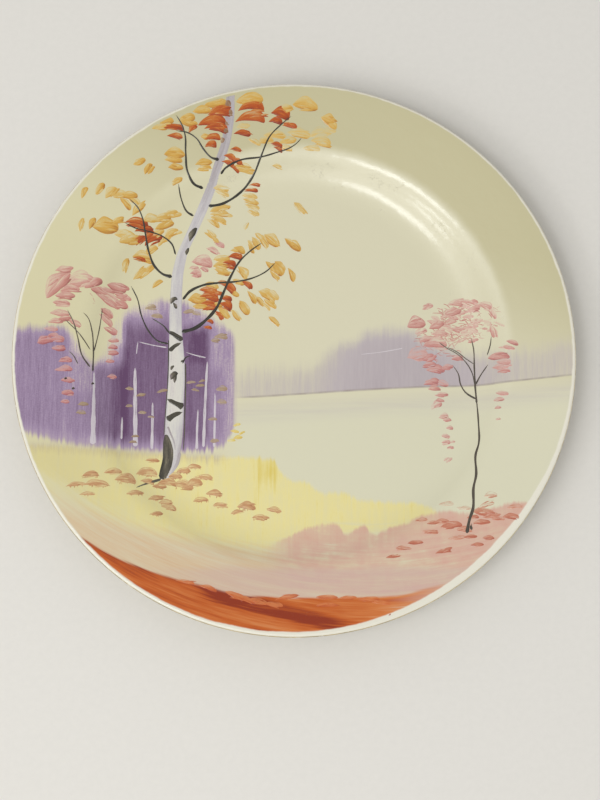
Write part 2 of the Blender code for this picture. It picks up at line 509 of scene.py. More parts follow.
class PaintDesk:
    """Adds nodes to one tree and wires them up."""

    def __init__(self, tree):
        self.tree = tree

    def node(self, kind, wires=None, out=0, **settings):
        made = self.tree.nodes.new("ShaderNode" + kind)
        for key, value in settings.items():
            setattr(made, key, value)
        for key, value in (wires or {}).items():
            self.wire(value, made.inputs[key])
        return Signal(self, made.outputs[out])

    def wire(self, value, socket):
        if isinstance(value, Signal):
            self.tree.links.new(value.socket, socket)
        elif isinstance(value, (tuple, list)) and len(value) == 3 and socket.type == "RGBA":
            socket.default_value = (*value, 1.0)
        else:
            socket.default_value = value

    def math(self, operation, *values):
        return self.node("Math", dict(enumerate(values)), operation=operation)

    def length(self, x, y):
        return self.math("SQRT", x * x + y * y)

    def place(self, scale=1 / MM):
        """The place on the object in plate millimetres, whole and in its three parts."""
        where = self.node("TexCoord", out="Object")
        scaled = self.node("VectorMath", {0: where, 3: scale}, operation="SCALE")
        parts = self.tree.nodes.new("ShaderNodeSeparateXYZ")
        self.wire(scaled, parts.inputs[0])
        return scaled, *[Signal(self, parts.outputs[i]) for i in range(3)]

    def vector(self, x=0.0, y=0.0, z=0.0):
        return self.node("CombineXYZ", {0: x, 1: y, 2: z})

    def step(self, value, low, high):
        """0 below low and 1 above high, with a soft change between."""
        return self.node("MapRange", {"Value": value, "From Min": low, "From Max": high},
                         interpolation_type="SMOOTHSTEP")

    def grain(self, where, scale, detail, roughness=0.55):
        """Noise centred on zero."""
        made = self.node("TexNoise", {"Vector": where, "Scale": scale, "Detail": detail,
                                      "Roughness": roughness})
        return made - 0.5

    def bumps(self, height, strength, distance, shader):
        """Wires a height into the normal of the shader."""
        wires = {"Height": height, "Strength": strength, "Distance": distance}
        self.wire(self.node("Bump", wires, out="Normal"), shader.inputs["Normal"])

    def curve(self, along, points, across=WASH_GRID, up=WASH_GRID, handle="AUTO_CLAMPED"):
        """A drawn line: the value given at each place along, on a grid with these ends."""
        wide, tall = across[1] - across[0], up[1] - up[0]
        made = self.node("FloatCurve", {"Value": (along - across[0]) * (1 / wide)})
        drawn = made.socket.node.mapping
        line = drawn.curves[0]
        while len(line.points) < len(points):
            line.points.new(0.5, 0.5)
        for point, (x, y) in zip(line.points, points):
            point.location = ((x - across[0]) / wide, (y - up[0]) / tall)
            point.handle_type = handle
        drawn.extend = "HORIZONTAL"
        drawn.update()
        return made * tall + up[0]

    def ramp(self, value, stops):
        """A run of colours along a value."""
        made = self.node("ValToRGB", {0: value})
        run = made.socket.node.color_ramp
        while len(run.elements) < len(stops):
            run.elements.new(0.5)
        for element, (spot, shade) in zip(run.elements, stops):
            element.position = spot
            element.color = (*shade, 1.0)
        return made

    def blend(self, share, under, over):
        """Colour that goes from under to over."""
        made = self.tree.nodes.new("ShaderNodeMix")
        made.data_type = "RGBA"
        self.wire(share, made.inputs[0])
        self.wire(under, made.inputs[6])
        self.wire(over, made.inputs[7])
        return Signal(self, made.outputs[2])

    def trait(self, name):
        """A stroke's own value at this place."""
        return self.node("Attribute", out="Fac", attribute_name=name)


# Bare margin inside the lip: bearing in degrees from the picture's right, width
MARGIN_WIDTHS = [(-180, 1.5), (-150, 1.6), (-120, 1.9), (-90, 2.4), (-60, 3.4), (-45, 3.8),
                 (-30, 3.0), (-10, 1.8), (20, 1.3), (60, 1.1), (90, 1.1), (135, 1.3), (180, 1.5)]

# Edges of the washes: x, y
WOOD_TOP = [(-130, 12), (-118, 12.5), (-108, 13.5), (-103, 12), (-99, 8), (-95, 1), (-91, -2),
            (-88, 2), (-85, 9), (-82, 17), (-79, 22), (-74, 24), (-66, 26), (-60, 28), (-52, 27),
            (-46, 24.5), (-40, 21), (-34, 17), (-29, 13), (-26, 9)]
WOOD_BOTTOM = [(-130, -34), (-118, -37), (-105, -40), (-92, -42), (-78, -42.5), (-60, -43),
               (-45, -43), (-32, -40), (-26, -30)]
PLUM_PATCHES = [  # left, right, bottom, top, softness, strength
    (-82, -76, -40, 4, 2.5, 0.45), (-77, -58, -41, 15, 3.5, 0.85), (-90, -78, -38, -5, 3, 0.55),
    (-51, -39.5, -43, 13, 2.5, 0.85), (-47, -41, -2, 12, 2, 0.35), (-38, -33, -41, -6, 2, 0.25),
    (-126, -104, -36, 10, 6, 0.22), (-100, -92, -38, -18, 3, 0.25),
    (-88, -79, -3, 30, 5, -0.50),
    (-101, -96, 0, 14, 2.5, -0.25), (-73, -62, 13, 30, 3, -0.2),
]
SHORE_TOP = [(-30, -3), (-20, -1.5), (8, -1), (14, 4), (20, 8), (28, 10.5), (36, 15),
             (44, 15.5), (52, 15.5), (58, 12), (66, 8), (76, 5), (88, 4), (100, 6), (108, 5),
             (116, 7), (126, 9)]
WATER_LINE = [(-30, -18.2), (-25, -18), (0, -16.5), (30, -14.5), (60, -13), (90, -12.3),
              (110, -11), (128, -9.6)]
BANK_TOP = [(-130, -43), (-110, -42), (-85, -43), (-60, -44), (-45, -45), (-22, -45.5),
            (-9, -46.5), (-7, -51), (0, -56), (6, -57), (11, -61), (24, -62.5), (31, -65),
            (46, -66), (60, -68), (67, -74), (80, -80)]
BANK_BOTTOM = [(-130, -50), (-110, -56), (-95, -64), (-80, -73), (-60, -81), (-40, -85),
               (-15, -88), (0, -85), (20, -80), (40, -79), (60, -77), (80, -76)]
PINK_TOP = [(-12, -86), (-3, -81.5), (2, -79), (8, -77), (15, -75.5), (20, -76), (23, -80.5),
            (28, -78), (31, -76.5), (36, -80.5), (42, -78), (50, -76), (56, -73), (70, -70.5),
            (80, -72), (92, -68.5), (100, -67), (106, -68)]
PEACH_TOP = [(-120, -58), (-105, -63), (-90, -69), (-70, -77), (-50, -81), (-25, -85), (0, -88)]
RUST_TOP = [(-104, -76), (-93, -83.5), (-80, -91), (-65, -97), (-52, -101), (-45, -103),
            (-37, -105), (-30, -107), (-22, -108.5), (-10, -108.8), (0, -109.3), (20, -109),
            (45, -108.5), (60, -105), (75, -101)]
STROKE_CENTRE = (33.0, 109.0)  # what the broad strokes of the foreground sweep round


def glaze_flaws(desk, where, x, y):
    """1 in the little curled scratches that lie scattered round the upper right of the hollow."""
    reach = desk.length(x, y)
    zone = desk.step(reach, 76.0, 82.0) * desk.step(reach, 100.0, 96.0)
    zone = zone * desk.step(x * 0.7 + y, 52.0, 70.0)
    cells = desk.node("TexVoronoi", {"Vector": where, "Scale": 0.07}, feature="F1")
    curl = desk.math("ABSOLUTE", desk.grain(where, 0.50, 3.0))
    zone = zone * desk.step(desk.grain(where, 0.24, 2.0), -0.04, 0.08)
    return zone * desk.step(cells, 0.36, 0.16) * desk.step(curl, 0.024, 0.006)


class Brushwork:
    """Places on the face, the grain that a brush leaves there, and the colours to lay.

    cloud, mottle and speckle have no direction. up and level are the hairs of upright and level
    strokes, and sweep those of strokes that go round the stroke centre. fine ones are thinner.
    """

    def __init__(self, desk, colours):
        self.desk, self.colours, self.step = desk, colours, desk.step
        self.where, self.x, self.y, _ = desk.place()
        x, y = self.x, self.y
        self.radius = desk.length(x, y)
        self.cloud = desk.grain(self.where, 0.018, 2.0)
        self.mottle = desk.grain(self.where, 0.16, 3.0)
        self.speckle = desk.grain(self.where, 1.6, 2.0)
        self.up = desk.grain(desk.vector(x, y * 0.045), 0.55, 3.0, 0.6)
        self.fine_up = desk.grain(desk.vector(x, y * 0.06), 1.9, 2.0, 0.6)
        self.level = desk.grain(desk.vector(x * 0.05, y), 0.55, 3.0, 0.6)
        out_x, out_y = x - STROKE_CENTRE[0], y - STROKE_CENTRE[1]
        bearing = desk.math("ARCTAN2", out_x, out_y * -1.0)
        swept = desk.vector(desk.length(out_x, out_y), bearing * 9.0)
        self.sweep = desk.grain(swept, 0.42, 4.0, 0.62)
        self.fine_sweep = desk.grain(swept, 1.5, 2.0, 0.6)

    def under(self, edge):
        """How far a place lies below a drawn edge."""
        return self.desk.curve(self.x, edge) - self.y

    def lay(self, share, ground, name):
        """One colour laid over the ground."""
        return self.desk.blend(share, ground, self.colours[name])

    def lay_run(self, share, ground, load, *stops):
        """A run of colours, from a thin to a dense load, laid over the ground."""
        run = self.desk.ramp(load, [(spot, self.colours[name]) for spot, name in stops])
        return self.desk.blend(share, ground, run)


def cream_and_water(brush, ground, below):
    """Cream, laid darker round the far flange as a painted shade, with the pale lake and its
    ripples laid into it.
    """
    step, x, y, cloud, mottle = brush.step, brush.x, brush.y, brush.cloud, brush.mottle
    ground = brush.lay(step(cloud, -0.25, 0.25), ground, "cream_warm")
    ground = brush.lay(step(x + cloud * 60, -115.0, 10.0) * 0.9, ground, "cream_pale")
    # Painted shade: the cream is laid darker on the flange towards the upper right.
    shaded = step((x * 0.40 + y * 0.92) * (1 / 125), 0.10, 0.72)
    shaded = shaded * step(brush.radius + mottle * 2.0, 96.5, 101.5)
    ground = brush.lay(shaded, ground, "cream_painted_shade")
    water = step(below, 0.0, 10.0) * step(x + mottle * 5, -34.0, -22.0)
    ground = brush.lay(water * 0.9, ground, "lake")
    ripples = step(below, 0.0, 2.5) * step(below, 16.0, 3.0) * water
    ground = brush.lay(ripples * (0.34 + brush.level * 0.9), ground, "haze")
    glint = step(below + brush.level * 1.2, 0.9, 1.4) * step(below, 3.0, 1.8)
    return brush.lay(glint * water * 0.4, ground, "porcelain")


def far_shore(brush, ground, below):
    """Hazy shore, thickest in its middle, and the thin drawn line where it meets the water."""
    step, x, up = brush.step, brush.x, brush.up
    crest = brush.under(SHORE_TOP) + up * 4.0 + brush.mottle * 5.0
    shore = step(crest, -2.5, 7.0) * step(below, 0.6, -0.4)
    shore = shore * step(x + brush.level * 6, -31.0, -22.0)
    thick = step(x, 2.0, 34.0) * step(x, 100.0, 60.0)
    load = 0.26 + thick * 0.34 + up * 0.30 + brush.fine_up * 0.26 + brush.cloud * 0.3
    load = load + step(crest, 12.0, 0.0) * -0.12
    ground = brush.lay_run(shore * step(load, -0.25, 0.45), ground, load,
                           (0.0, "haze_pale"), (0.5, "haze"), (1.0, "haze_deep"))
    brink = step(brush.desk.math("ABSOLUTE", below + brush.level * 0.8), 0.75, 0.1)
    brink = brink * step(x, -28.0, -18.0)
    return brush.lay(brink * (0.55 + brush.mottle * 1.2), ground, "brink")


def violet_wood(brush, ground):
    """Wood in upright strokes: ragged along its top, plum in patches, and thin at its foot."""
    step, up = brush.step, brush.up
    crest = brush.under(WOOD_TOP) + up * 6.0 + brush.mottle * 2.5
    foot = brush.y - brush.desk.curve(brush.x, WOOD_BOTTOM) + up * 11.0
    ragged_x, ragged_y = brush.x + up * 3.0, brush.y + up * 8.0
    wood = step(crest, -2.0, 3.0) * step(foot, -1.5, 2.0) * step(ragged_x, -25.6, -28.6)
    density = 0.24 + up * 0.40 + brush.fine_up * 0.46 + brush.cloud * 0.2 + brush.speckle * 0.34
    for left, right, low, high, soft, strength in PLUM_PATCHES:
        patch = step(ragged_x, left - soft, left + soft * 0.4)
        patch = patch * step(ragged_x, right + soft, right - soft * 0.4)
        patch = patch * step(ragged_y, low - soft, low + soft)
        patch = patch * step(ragged_y, high + soft * 2.2, high - soft)
        density = density + patch * (strength * 0.62)
    density = density * step(foot, -2.0, 9.0) + step(foot, 9.0, -2.0) * 0.18
    density = density + step(crest, 7.0, 0.0) * -0.14
    return brush.lay_run(wood * step(density, -0.35, 0.16), ground, density,
                         (0.0, "violet_pale"), (0.28, "violet"), (0.62, "mauve"), (1.0, "plum"))


def near_bank(brush, ground):
    """Yellow bank: a deep patch by the water, a worn fringe under the wood, dull at the left."""
    step, x, y, up = brush.step, brush.x, brush.y, brush.up
    under = brush.under(BANK_TOP)
    bank = step(under + up * 5.0 + brush.mottle * 2.0, -1.2, 1.6)
    fade = y - brush.desk.curve(x, BANK_BOTTOM) + brush.sweep * 24
    bank_fade = bank * step(fade, -9.0, 6.0)
    load = 0.40 + up * 0.85 + brush.mottle * 0.50 + brush.fine_up * 0.30
    patch = step(x + up * 4, -27.0, -20.0) * 0.14 + step(x + up * 3, -17.2, -15.4) * 0.22
    patch = patch * step(x + up * 2, -6.8, -8.4)
    load = load + patch * step(y + up * 16, -66.0, -49.0)
    load = load + step(x, -60.0, -100.0) * -0.18
    ground = brush.lay_run(bank_fade * 0.94, ground, load,
                           (0.0, "yellow_pale"), (0.5, "yellow"), (1.0, "yellow_deep"))
    fringe = step(under + up * 7.0, 4.5, 0.0) * step(under, -3.0, 1.0)
    fringe = fringe * step(x + brush.level * 8.0, -28.0, -36.0)
    ground = brush.lay(fringe * (0.34 + brush.fine_up * 1.2), ground, "fringe")
    dull = bank_fade * step(x + y * 0.3, -74.0, -122.0)
    return brush.lay(dull * 0.4, ground, "fringe_yellow")


def peach_band(brush, ground):
    """Peach swept round under the bank."""
    step, x, y = brush.step, brush.x, brush.y
    peach = step(brush.under(PEACH_TOP) + brush.sweep * 15.0, -4.0, 7.0)
    peach = peach * step(y, -50.0, -58.0) * step(y + x * 0.15, -66.0, -100.0)
    load = 0.33 + brush.sweep * 1.05 + brush.fine_sweep * 0.75
    return brush.lay_run(peach * 0.94, ground, load,
                         (0.0, "peach_pale"), (0.5, "peach"), (1.0, "peach_deep"))


def pink_bank(brush, ground):
    """Pink bank on the right: upright strokes along its top and swept ones below, over lilac."""
    step, x, y, up, sweep = brush.step, brush.x, brush.y, brush.up, brush.sweep
    under = brush.under(PINK_TOP)
    pink = step(under + up * 3.5 + brush.mottle * 2.0, -0.9, 1.4)
    pink = pink * step(x + up * 6, -16.0, 2.0)
    crest = step(under, 13.0, 3.0)
    load = 0.34 + crest * up * 0.50 + brush.mottle * 0.80
    load = load + (sweep * 0.85 + brush.fine_sweep * 0.65) * (1.0 - crest * 0.75)
    load = load + step(x, 30.0, 95.0) * 0.14
    load = load + step(y + sweep * 10, -88.0, -98.0) * -0.22
    ground = brush.lay_run(pink * step(load, -0.2, 0.3) * 0.92, ground, load,
                           (0.0, "pink_pale"), (0.5, "pink"), (1.0, "pink_deep"))
    band = step(y + sweep * 8.0, -94.0, -98.0) * step(x, -78.0, -20.0)
    return brush.lay(band * (0.55 + sweep), ground, "lilac")


def rust_foreground(brush, ground):
    """Rust foreground with a burnt slash across it, thinning to the right."""
    step, x, y, sweep = brush.step, brush.x, brush.y, brush.sweep
    crest = brush.under(RUST_TOP) + sweep * 3.0
    rust = step(crest, -0.6, 0.9) * step(x + sweep * 30.0, 84.0, 40.0)
    load = 0.52 + sweep * 1.25 + brush.fine_sweep * 0.65
    slash = (y + 112.0) + (x + 20.0) * 0.235 + sweep * 6.0
    slash = step(brush.desk.math("ABSOLUTE", slash), 5.0, 1.0)
    slash = slash * step(x, -46.0, -32.0) * step(x, 34.0, 8.0)
    load = load + slash * 0.52 + step(crest, 5.0, 0.5) * step(x, 0.0, -30.0) * 0.30
    load = load + step(x, 10.0, 60.0) * -0.22
    return brush.lay_run(rust * step(load, -0.15, 0.25), ground, load,
                         (0.0, "rust_pale"), (0.35, "rust_light"), (0.65, "rust"), (1.0, "burnt"))


def washes(colours):
    """Node group with the colour of the face under the strokes: glaze, ground and washes."""
    tree = bpy.data.node_groups.new("painted_washes", "ShaderNodeTree")
    tree.interface.new_socket("Washes", in_out="OUTPUT", socket_type="NodeSocketColor")
    desk = PaintDesk(tree)
    brush = Brushwork(desk, colours)
    below = brush.under(WATER_LINE)
    ground = cream_and_water(brush, colours["cream"], below)
    ground = far_shore(brush, ground, below)
    for wash in (violet_wood, near_bank, peach_band, pink_bank, rust_foreground):
        ground = wash(brush, ground)
    ground = brush.lay(desk.step(brush.speckle, 0.12, 0.3) * 0.05, ground, "cream")
    flaws = glaze_flaws(desk, brush.where, brush.x, brush.y)
    ground = brush.lay(flaws * 0.34, ground, "brink")
    bearing = desk.math("ARCTAN2", brush.y, brush.x) * (180 / math.pi)
    margin = desk.curve(bearing, MARGIN_WIDTHS, (-180, 180), (0, 10), "AUTO")
    rim_gap = FACE_RADIUS - brush.radius - margin + brush.mottle * 0.9
    painted = desk.blend(desk.step(rim_gap, -0.35, 0.45), colours["porcelain"], ground)
    result = tree.nodes.new("NodeGroupOutput")
    desk.wire(painted, result.inputs[0])
    return tree


def new_material(name):
    """A new material, a desk for its nodes, and its Principled shader."""
    material = bpy.data.materials.new(name)
    material.use_nodes = True
    tree = material.node_tree
    return material, PaintDesk(tree), tree.nodes["Principled BSDF"]


def fired_gloss(desk, shader, roughness):
    """The clear fired surface: a hard gloss with a faint orange-peel waviness."""
    shader.inputs["IOR"].default_value = 1.5
    where, x, y, _ = desk.place()
    smear = desk.grain(where, 0.05, 3.0)
    desk.wire(smear * 0.10 + roughness, shader.inputs["Roughness"])
    wave = desk.grain(where, 0.07, 2.0) * 0.5 + desk.grain(where, 0.21, 2.0) * 0.42
    wave = wave + desk.grain(where, 0.9, 2.0) * 0.02 - glaze_flaws(desk, where, x, y) * 0.35
    desk.bumps(wave, 0.45, 0.0004, shader)


def group_colour(desk, tree):
    """Colour that a node group gives."""
    made = desk.tree.nodes.new("ShaderNodeGroup")
    made.node_tree = tree
    return Signal(desk, made.outputs[0])


def painted_material(name, wash_group):
    """Glaze with its painted ground and washes."""
    material, desk, shader = new_material(name)
    desk.wire(group_colour(desk, wash_group), shader.inputs["Base Color"])
    fired_gloss(desk, shader, FACE_GLOSS)
    return material


def pigment_material(name, wash_group, thin, full, dense, strength=1.0, streak=1.0):
    """Enamel strokes: a run from a thin to a dense load of pigment over the washes.

    The hairs of the brush leave fine streaks along each stroke, and break up its dry ends.
    """
    material, desk, shader = new_material(name)
    ground = group_colour(desk, wash_group)
    where, x, y, _ = desk.place()
    hairs = desk.grain(desk.vector(desk.trait("hair") * 1.5, x * 0.13, y * 0.13), 1.0, 3.0, 0.62)
    depth = desk.trait("depth") + hairs * streak + desk.grain(where, 1.6, 2.0) * 0.2
    shade = desk.ramp(depth, [(0.1, thin), (0.5, full), (0.95, dense)])
    cover = desk.step(desk.trait("cover") + hairs * 0.9, 0.22, 0.62)
    cover = cover * desk.step(depth, -0.15, 0.30) * strength
    desk.wire(desk.blend(cover, ground, shade), shader.inputs["Base Color"])
    fired_gloss(desk, shader, FACE_GLOSS)
    return material


def toward(base, other, share):
    """Colour part of the way from one to another."""
    return tuple(a + (b - a) * share for a, b in zip(base, other))


def deeper(base, share):
    """Darker colour that keeps this share of each part."""
    return tuple(part * share for part in base)


def paint_box(context):
    """Every colour of the face: the user's own, the thinner and denser loads of them, and a painted
    shade of the cream for the far flange.
    """
    own = context.scene.plate_colours
    box = {name: tuple(getattr(own, name)) for name in own.__annotations__}
    box["cream_warm"] = swatch(211, 204, 166)
    box["cream_pale"] = swatch(213, 208, 182)
    # Painted shade of the cream, laid on the flange towards the upper right
    box["cream_painted_shade"] = swatch(193, 186, 150)
    box["haze_pale"] = toward(box["haze"], box["cream"], 0.62)
    box["haze_deep"] = toward(box["haze"], box["plum"], 0.30)
    box["brink"] = swatch(150, 138, 132)
    box["violet_pale"] = swatch(196, 180, 184)
    box["mauve"] = toward(box["violet"], box["plum"], 0.55)
    box["yellow_pale"] = toward(box["yellow"], box["cream"], 0.58)
    box["yellow_deep"] = swatch(214, 192, 88)
    box["peach_pale"] = toward(box["peach"], box["cream_pale"], 0.6)
    box["peach_deep"] = swatch(200, 158, 130)
    box["pink_pale"] = toward(box["pink"], box["cream"], 0.5)
    box["pink_deep"] = swatch(203, 148, 132)
    box["lilac"] = swatch(200, 170, 162)
    box["fringe"] = swatch(176, 158, 142)
    box["fringe_yellow"] = swatch(198, 186, 132)
    box["rust_pale"] = swatch(212, 146, 98)
    box["rust_light"] = swatch(203, 116, 56)
    return box


class Workshop:
    """What every step needs: the turned line, the colours, the washes and a seeded hand."""

    def __init__(self, context, offset=0):
        self.shape = context.scene.plate_shape
        self.line = TurnedLine(self.shape)
        self.colours = paint_box(context)
        self.washes = bpy.data.node_groups.get("painted_washes") or washes(self.colours)
        self.hand = np.random.default_rng(context.scene.plate_stage.seed * 100 + offset)

    def sheet(self):
        return StrokeSheet(self.line)


def crazed_glaze(name, colours):
    """White glaze of the underside, with faint pooling and pin specks."""
    material, desk, shader = new_material(name)
    where = desk.place()[0]
    tint = desk.step(desk.grain(where, 0.03, 3.0), -0.25, 0.25)
    creamy = toward(colours["porcelain"], colours["cream"], 0.25)
    shade = desk.blend(tint, creamy, colours["porcelain"])
    specks = desk.node("TexVoronoi", {"Vector": where, "Scale": 0.11}, feature="F1")
    dots = desk.step(specks, 0.035, 0.018) * desk.step(desk.grain(where, 0.05, 1.0), 0.02, 0.10)
    shade = desk.blend(dots * 0.6, shade, swatch(120, 104, 84))
    desk.wire(shade, shader.inputs["Base Color"])
    fired_gloss(desk, shader, BACK_GLOSS)
    return material


def bare_clay(name, colours):
    """Unglazed biscuit: fine grit, turning lines and a darker rubbed edge."""
    material, desk, shader = new_material(name)
    where, x, y, z = desk.place()
    rings = desk.grain(desk.vector(desk.length(x, y), 0.0, z), 3.2, 2.0)
    grit = desk.grain(where, 2.6, 4.0, 0.7)
    shade = desk.blend(desk.step(grit + rings * 0.5, -0.3, 0.35), deeper(colours["biscuit"], 0.74),
                       colours["biscuit"])
    grime = desk.step(z, 0.9, 0.0) * desk.step(desk.grain(where, 0.22, 3.0), -0.15, 0.25)
    shade = desk.blend(grime * 0.55, shade, swatch(138, 124, 106))
    desk.wire(shade, shader.inputs["Base Color"])
    shader.inputs["Roughness"].default_value = 0.78
    desk.bumps(grit * 0.5 + rings * 0.5, 0.5, 0.00012, shader)
    return material


def worn_gold(name, colours):
    """Thin gilding, rubbed back to the glaze in places along the lip, and more towards the top and
    right, where the paler rubbed colour also stands in for a painted sheen.
    """
    material, desk, shader = new_material(name)
    where, x, y, _ = desk.place()
    rub = desk.grain(where, 0.35, 4.0, 0.65) + desk.grain(where, 2.8, 3.0) * 0.6
    # Real rubbed wear in patches, with a bias towards the top and right that paints a sheen on the
    # lip.
    wear_and_sheen = desk.step(rub + desk.step(x * 0.4 + y, -40.0, 70.0) * 0.16, 0.08, 0.22)
    dull = desk.step(desk.grain(where, 0.12, 2.0), -0.2, 0.2)
    gold = desk.blend(dull, colours["gold"], deeper(colours["gold"], 0.62))
    shade = desk.blend(wear_and_sheen, gold, toward(colours["porcelain"], colours["gold"], 0.25))
    desk.wire(shade, shader.inputs["Base Color"])
    desk.wire(1.0 - wear_and_sheen, shader.inputs["Metallic"])
    desk.wire(0.26 + dull * 0.16 + wear_and_sheen * -0.08, shader.inputs["Roughness"])
    desk.bumps(rub, 0.25, 0.0001, shader)
    return material


# --- Steps ----------------------------------------------------------------------------------


def foot_edges(shape):
    """Outer and inner radius of the foot ring where it meets the base."""
    outer = shape.well_radius - shape.foot_inset
    return outer, outer - shape.foot_width_base


def eased(edge, start, end):
    """Round edge of the foot ring where it stands, about a radius and between two angles."""
    return [(edge + FOOT_EASE * math.cos(angle), FOOT_EASE - FOOT_EASE * math.sin(angle))
            for angle in np.linspace(start, end, FOOT_EASE_STEPS)]


class PLATE_OT_clay(bpy.types.Operator):
    """Gives the clay body its material and turns the bare foot ring with eased edges"""

    bl_idname = "plate.clay"
    bl_label = "Clay body and foot ring"

    def execute(self, context):
        shop = Workshop(context, 1)
        shape = shop.shape
        clay = bare_clay("biscuit_clay", shop.colours)
        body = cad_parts["plate_body"]
        body.data.materials.clear()
        body.data.materials.append(clay)
        outer, inner = foot_edges(shape)
        taper = (shape.foot_width_base - shape.foot_width_table) / 2
        top = shape.foot_height + shape.glaze_coat
        loop = [(inner, top), (outer, top), (outer, shape.foot_height)]
        loop += eased(outer - taper - FOOT_EASE, 0, math.pi / 2)
        loop += eased(inner + taper + FOOT_EASE, math.pi / 2, math.pi)
        loop.append((inner, shape.foot_height))
        mesh = turned_mesh("foot_ring_turned", loop)
        placed(mesh, "foot_ring_turned", clay, replaced=["foot_ring"], slot="biscuit")
        return {"FINISHED"}


class PLATE_OT_back_glaze(bpy.types.Operator):
    """Lays the glaze of the underside, outside the foot ring and inside it"""

    bl_idname = "plate.back_glaze"
    bl_label = "Glaze of the back"

    def execute(self, context):
        shop = Workshop(context, 2)
        shape, line = shop.shape, shop.line
        glaze = crazed_glaze("white_back_glaze", shop.colours)
        outer, inner = foot_edges(shape)
        lip_from, lip_to = BACK_LIP_TURN, shape.flange_slope - math.pi
        lower = line.lip(lip_from, lip_to, LIP_STEPS)[:-1] + line.back()
        lower.append(np.array([outer + shape.seam / 2, shape.foot_height]))
        raised = line.lip(lip_from, lip_to, LIP_STEPS, -shape.glaze_coat)[:-1]
        raised += line.back(-shape.glaze_coat)
        raised.append(np.array([outer + shape.seam / 2, shape.foot_height + shape.glaze_coat]))
        mesh = turned_mesh("back_glaze_coat", [tuple(p) for p in lower + raised[::-1]])
        placed(mesh, "back_glaze_coat", glaze, replaced=["back_glaze"], slot="white_glaze")
        floor, roof = shape.foot_height, shape.foot_height + shape.glaze_coat
        edge = inner - shape.seam / 2
        stops = np.linspace(edge, 0, LEVEL_STEPS)
        loop = [(float(r), floor) for r in stops] + [(float(r), roof) for r in stops[::-1]]
        mesh = turned_mesh("base_glaze_coat", loop)
        placed(mesh, "base_glaze_coat", glaze, replaced=["base_glaze"], slot="white_glaze")
        return {"FINISHED"}


class PLATE_OT_face(bpy.types.Operator):
    """Lays the glaze of the face and the painted film that stops short of the lip"""

    bl_idname = "plate.face"
    bl_label = "Glazed and painted face"

    def execute(self, context):
        shop = Workshop(context, 3)
        shape, line = shop.shape, shop.line
        face = painted_material("painted_porcelain", shop.washes)
        top = line.face(line.lip_start) + line.lip(shape.flange_slope, LIP_TURN, LIP_STEPS)[1:]
        under = line.face(line.lip_start, -shape.glaze_coat)
        under += line.lip(shape.flange_slope, LIP_TURN, LIP_STEPS, -shape.glaze_coat)[1:]
        mesh = turned_mesh("face_glaze_coat", [tuple(p) for p in top + under[::-1]])
        placed(mesh, "face_glaze_coat", face, replaced=["face_glaze"], slot="white_glaze")
        last = shape.diameter / 2 - shape.paint_margin
        film = line.face(last, lambda radius: float(film_at(radius / MM)) * MM)
        floor = line.face(last, -FILM_ROOT)
        mesh = turned_mesh("painted_film", [tuple(p) for p in film + floor[::-1]])
        placed(mesh, "painted_film", face, replaced=["painted_ground"], slot="cream_ground")
        return {"FINISHED"}


class PLATE_OT_gilding(bpy.types.Operator):
    """Lays the rubbed gold line round the lip"""

    bl_idname = "plate.gilding"
    bl_label = "Gilt lip"

    def execute(self, context):
        shop = Workshop(context, 4)
        line = shop.line
        outside = line.lip(GILT_START, GILT_END, GILT_STEPS, GILT_LIFT)
        sunk = line.lip(GILT_START, GILT_END, GILT_STEPS, GILT_SINK)
        outside[0], outside[-1] = sunk[0], sunk[-1]
        inside = line.lip(GILT_START, GILT_END, GILT_STEPS, GILT_DEPTH)
        mesh = turned_mesh("gilt_line", [tuple(p) for p in outside + inside[::-1]])
        gold = worn_gold("worn_gilding", shop.colours)
        placed(mesh, "gilt_line", gold, replaced=["gilt_rim"], slot="gilding")
        return {"FINISHED"}


# Birch: height, left edge and right edge of the trunk
TRUNK = [(123.2, -31.2, -27.4), (116, -31.8, -27.4), (110, -32.2, -27.6), (100, -33.6, -29.4),
         (93, -36.1, -31.6), (80, -41.2, -36), (70, -45.2, -40.2), (60, -49.6, -44.6),
         (50, -54, -49.2), (40, -56.4, -51), (30, -57, -51.5), (20, -57.4, -51.5),
         (10, -57.3, -51), (0, -57.2, -49.9), (-10, -57.4, -49.7), (-20, -58, -50),
         (-30, -58.6, -50), (-38, -59, -50.5), (-45, -59.2, -51.6), (-50, -60.2, -52.8),
         (-54, -61, -55.4), (-56, -60.6, -57)]
BARK = [  # place, length, width, tilt
    ((-46.9, 58.6), 8.0, 2.8, 64), ((-49.3, 50.5), 3.8, 1.6, 72), ((-55.5, 27.4), 4.4, 2.2, 48),
    ((-54.7, 24.9), 3.6, 1.7, -62), ((-54.6, 27.8), 2.4, 1.2, 10), ((-55.6, -4.2), 2.8, 1.3, 55),
    ((-54.8, -8.0), 5.0, 3.0, 48), ((-54.2, -9.4), 4.2, 1.8, 80), ((-51.2, -1.2), 1.6, 0.8, 40),
]
WEDGES = [  # width at the thick end and at the thin end, route
    (3.3, 0.9, [(-51.0, 8.6), (-53.4, 10.2), (-57.3, 13.2)]),
    (2.8, 0.7, [(-57.0, 3.5), (-54.4, 6.0), (-51.3, 7.6)]),
    (3.7, 1.4, [(-50.3, -22.5), (-54.0, -20.7), (-57.8, -18.7)]),
    (3.9, 0.8, [(-57.7, -28.5), (-54.2, -26.0), (-50.5, -24.7)]),
]
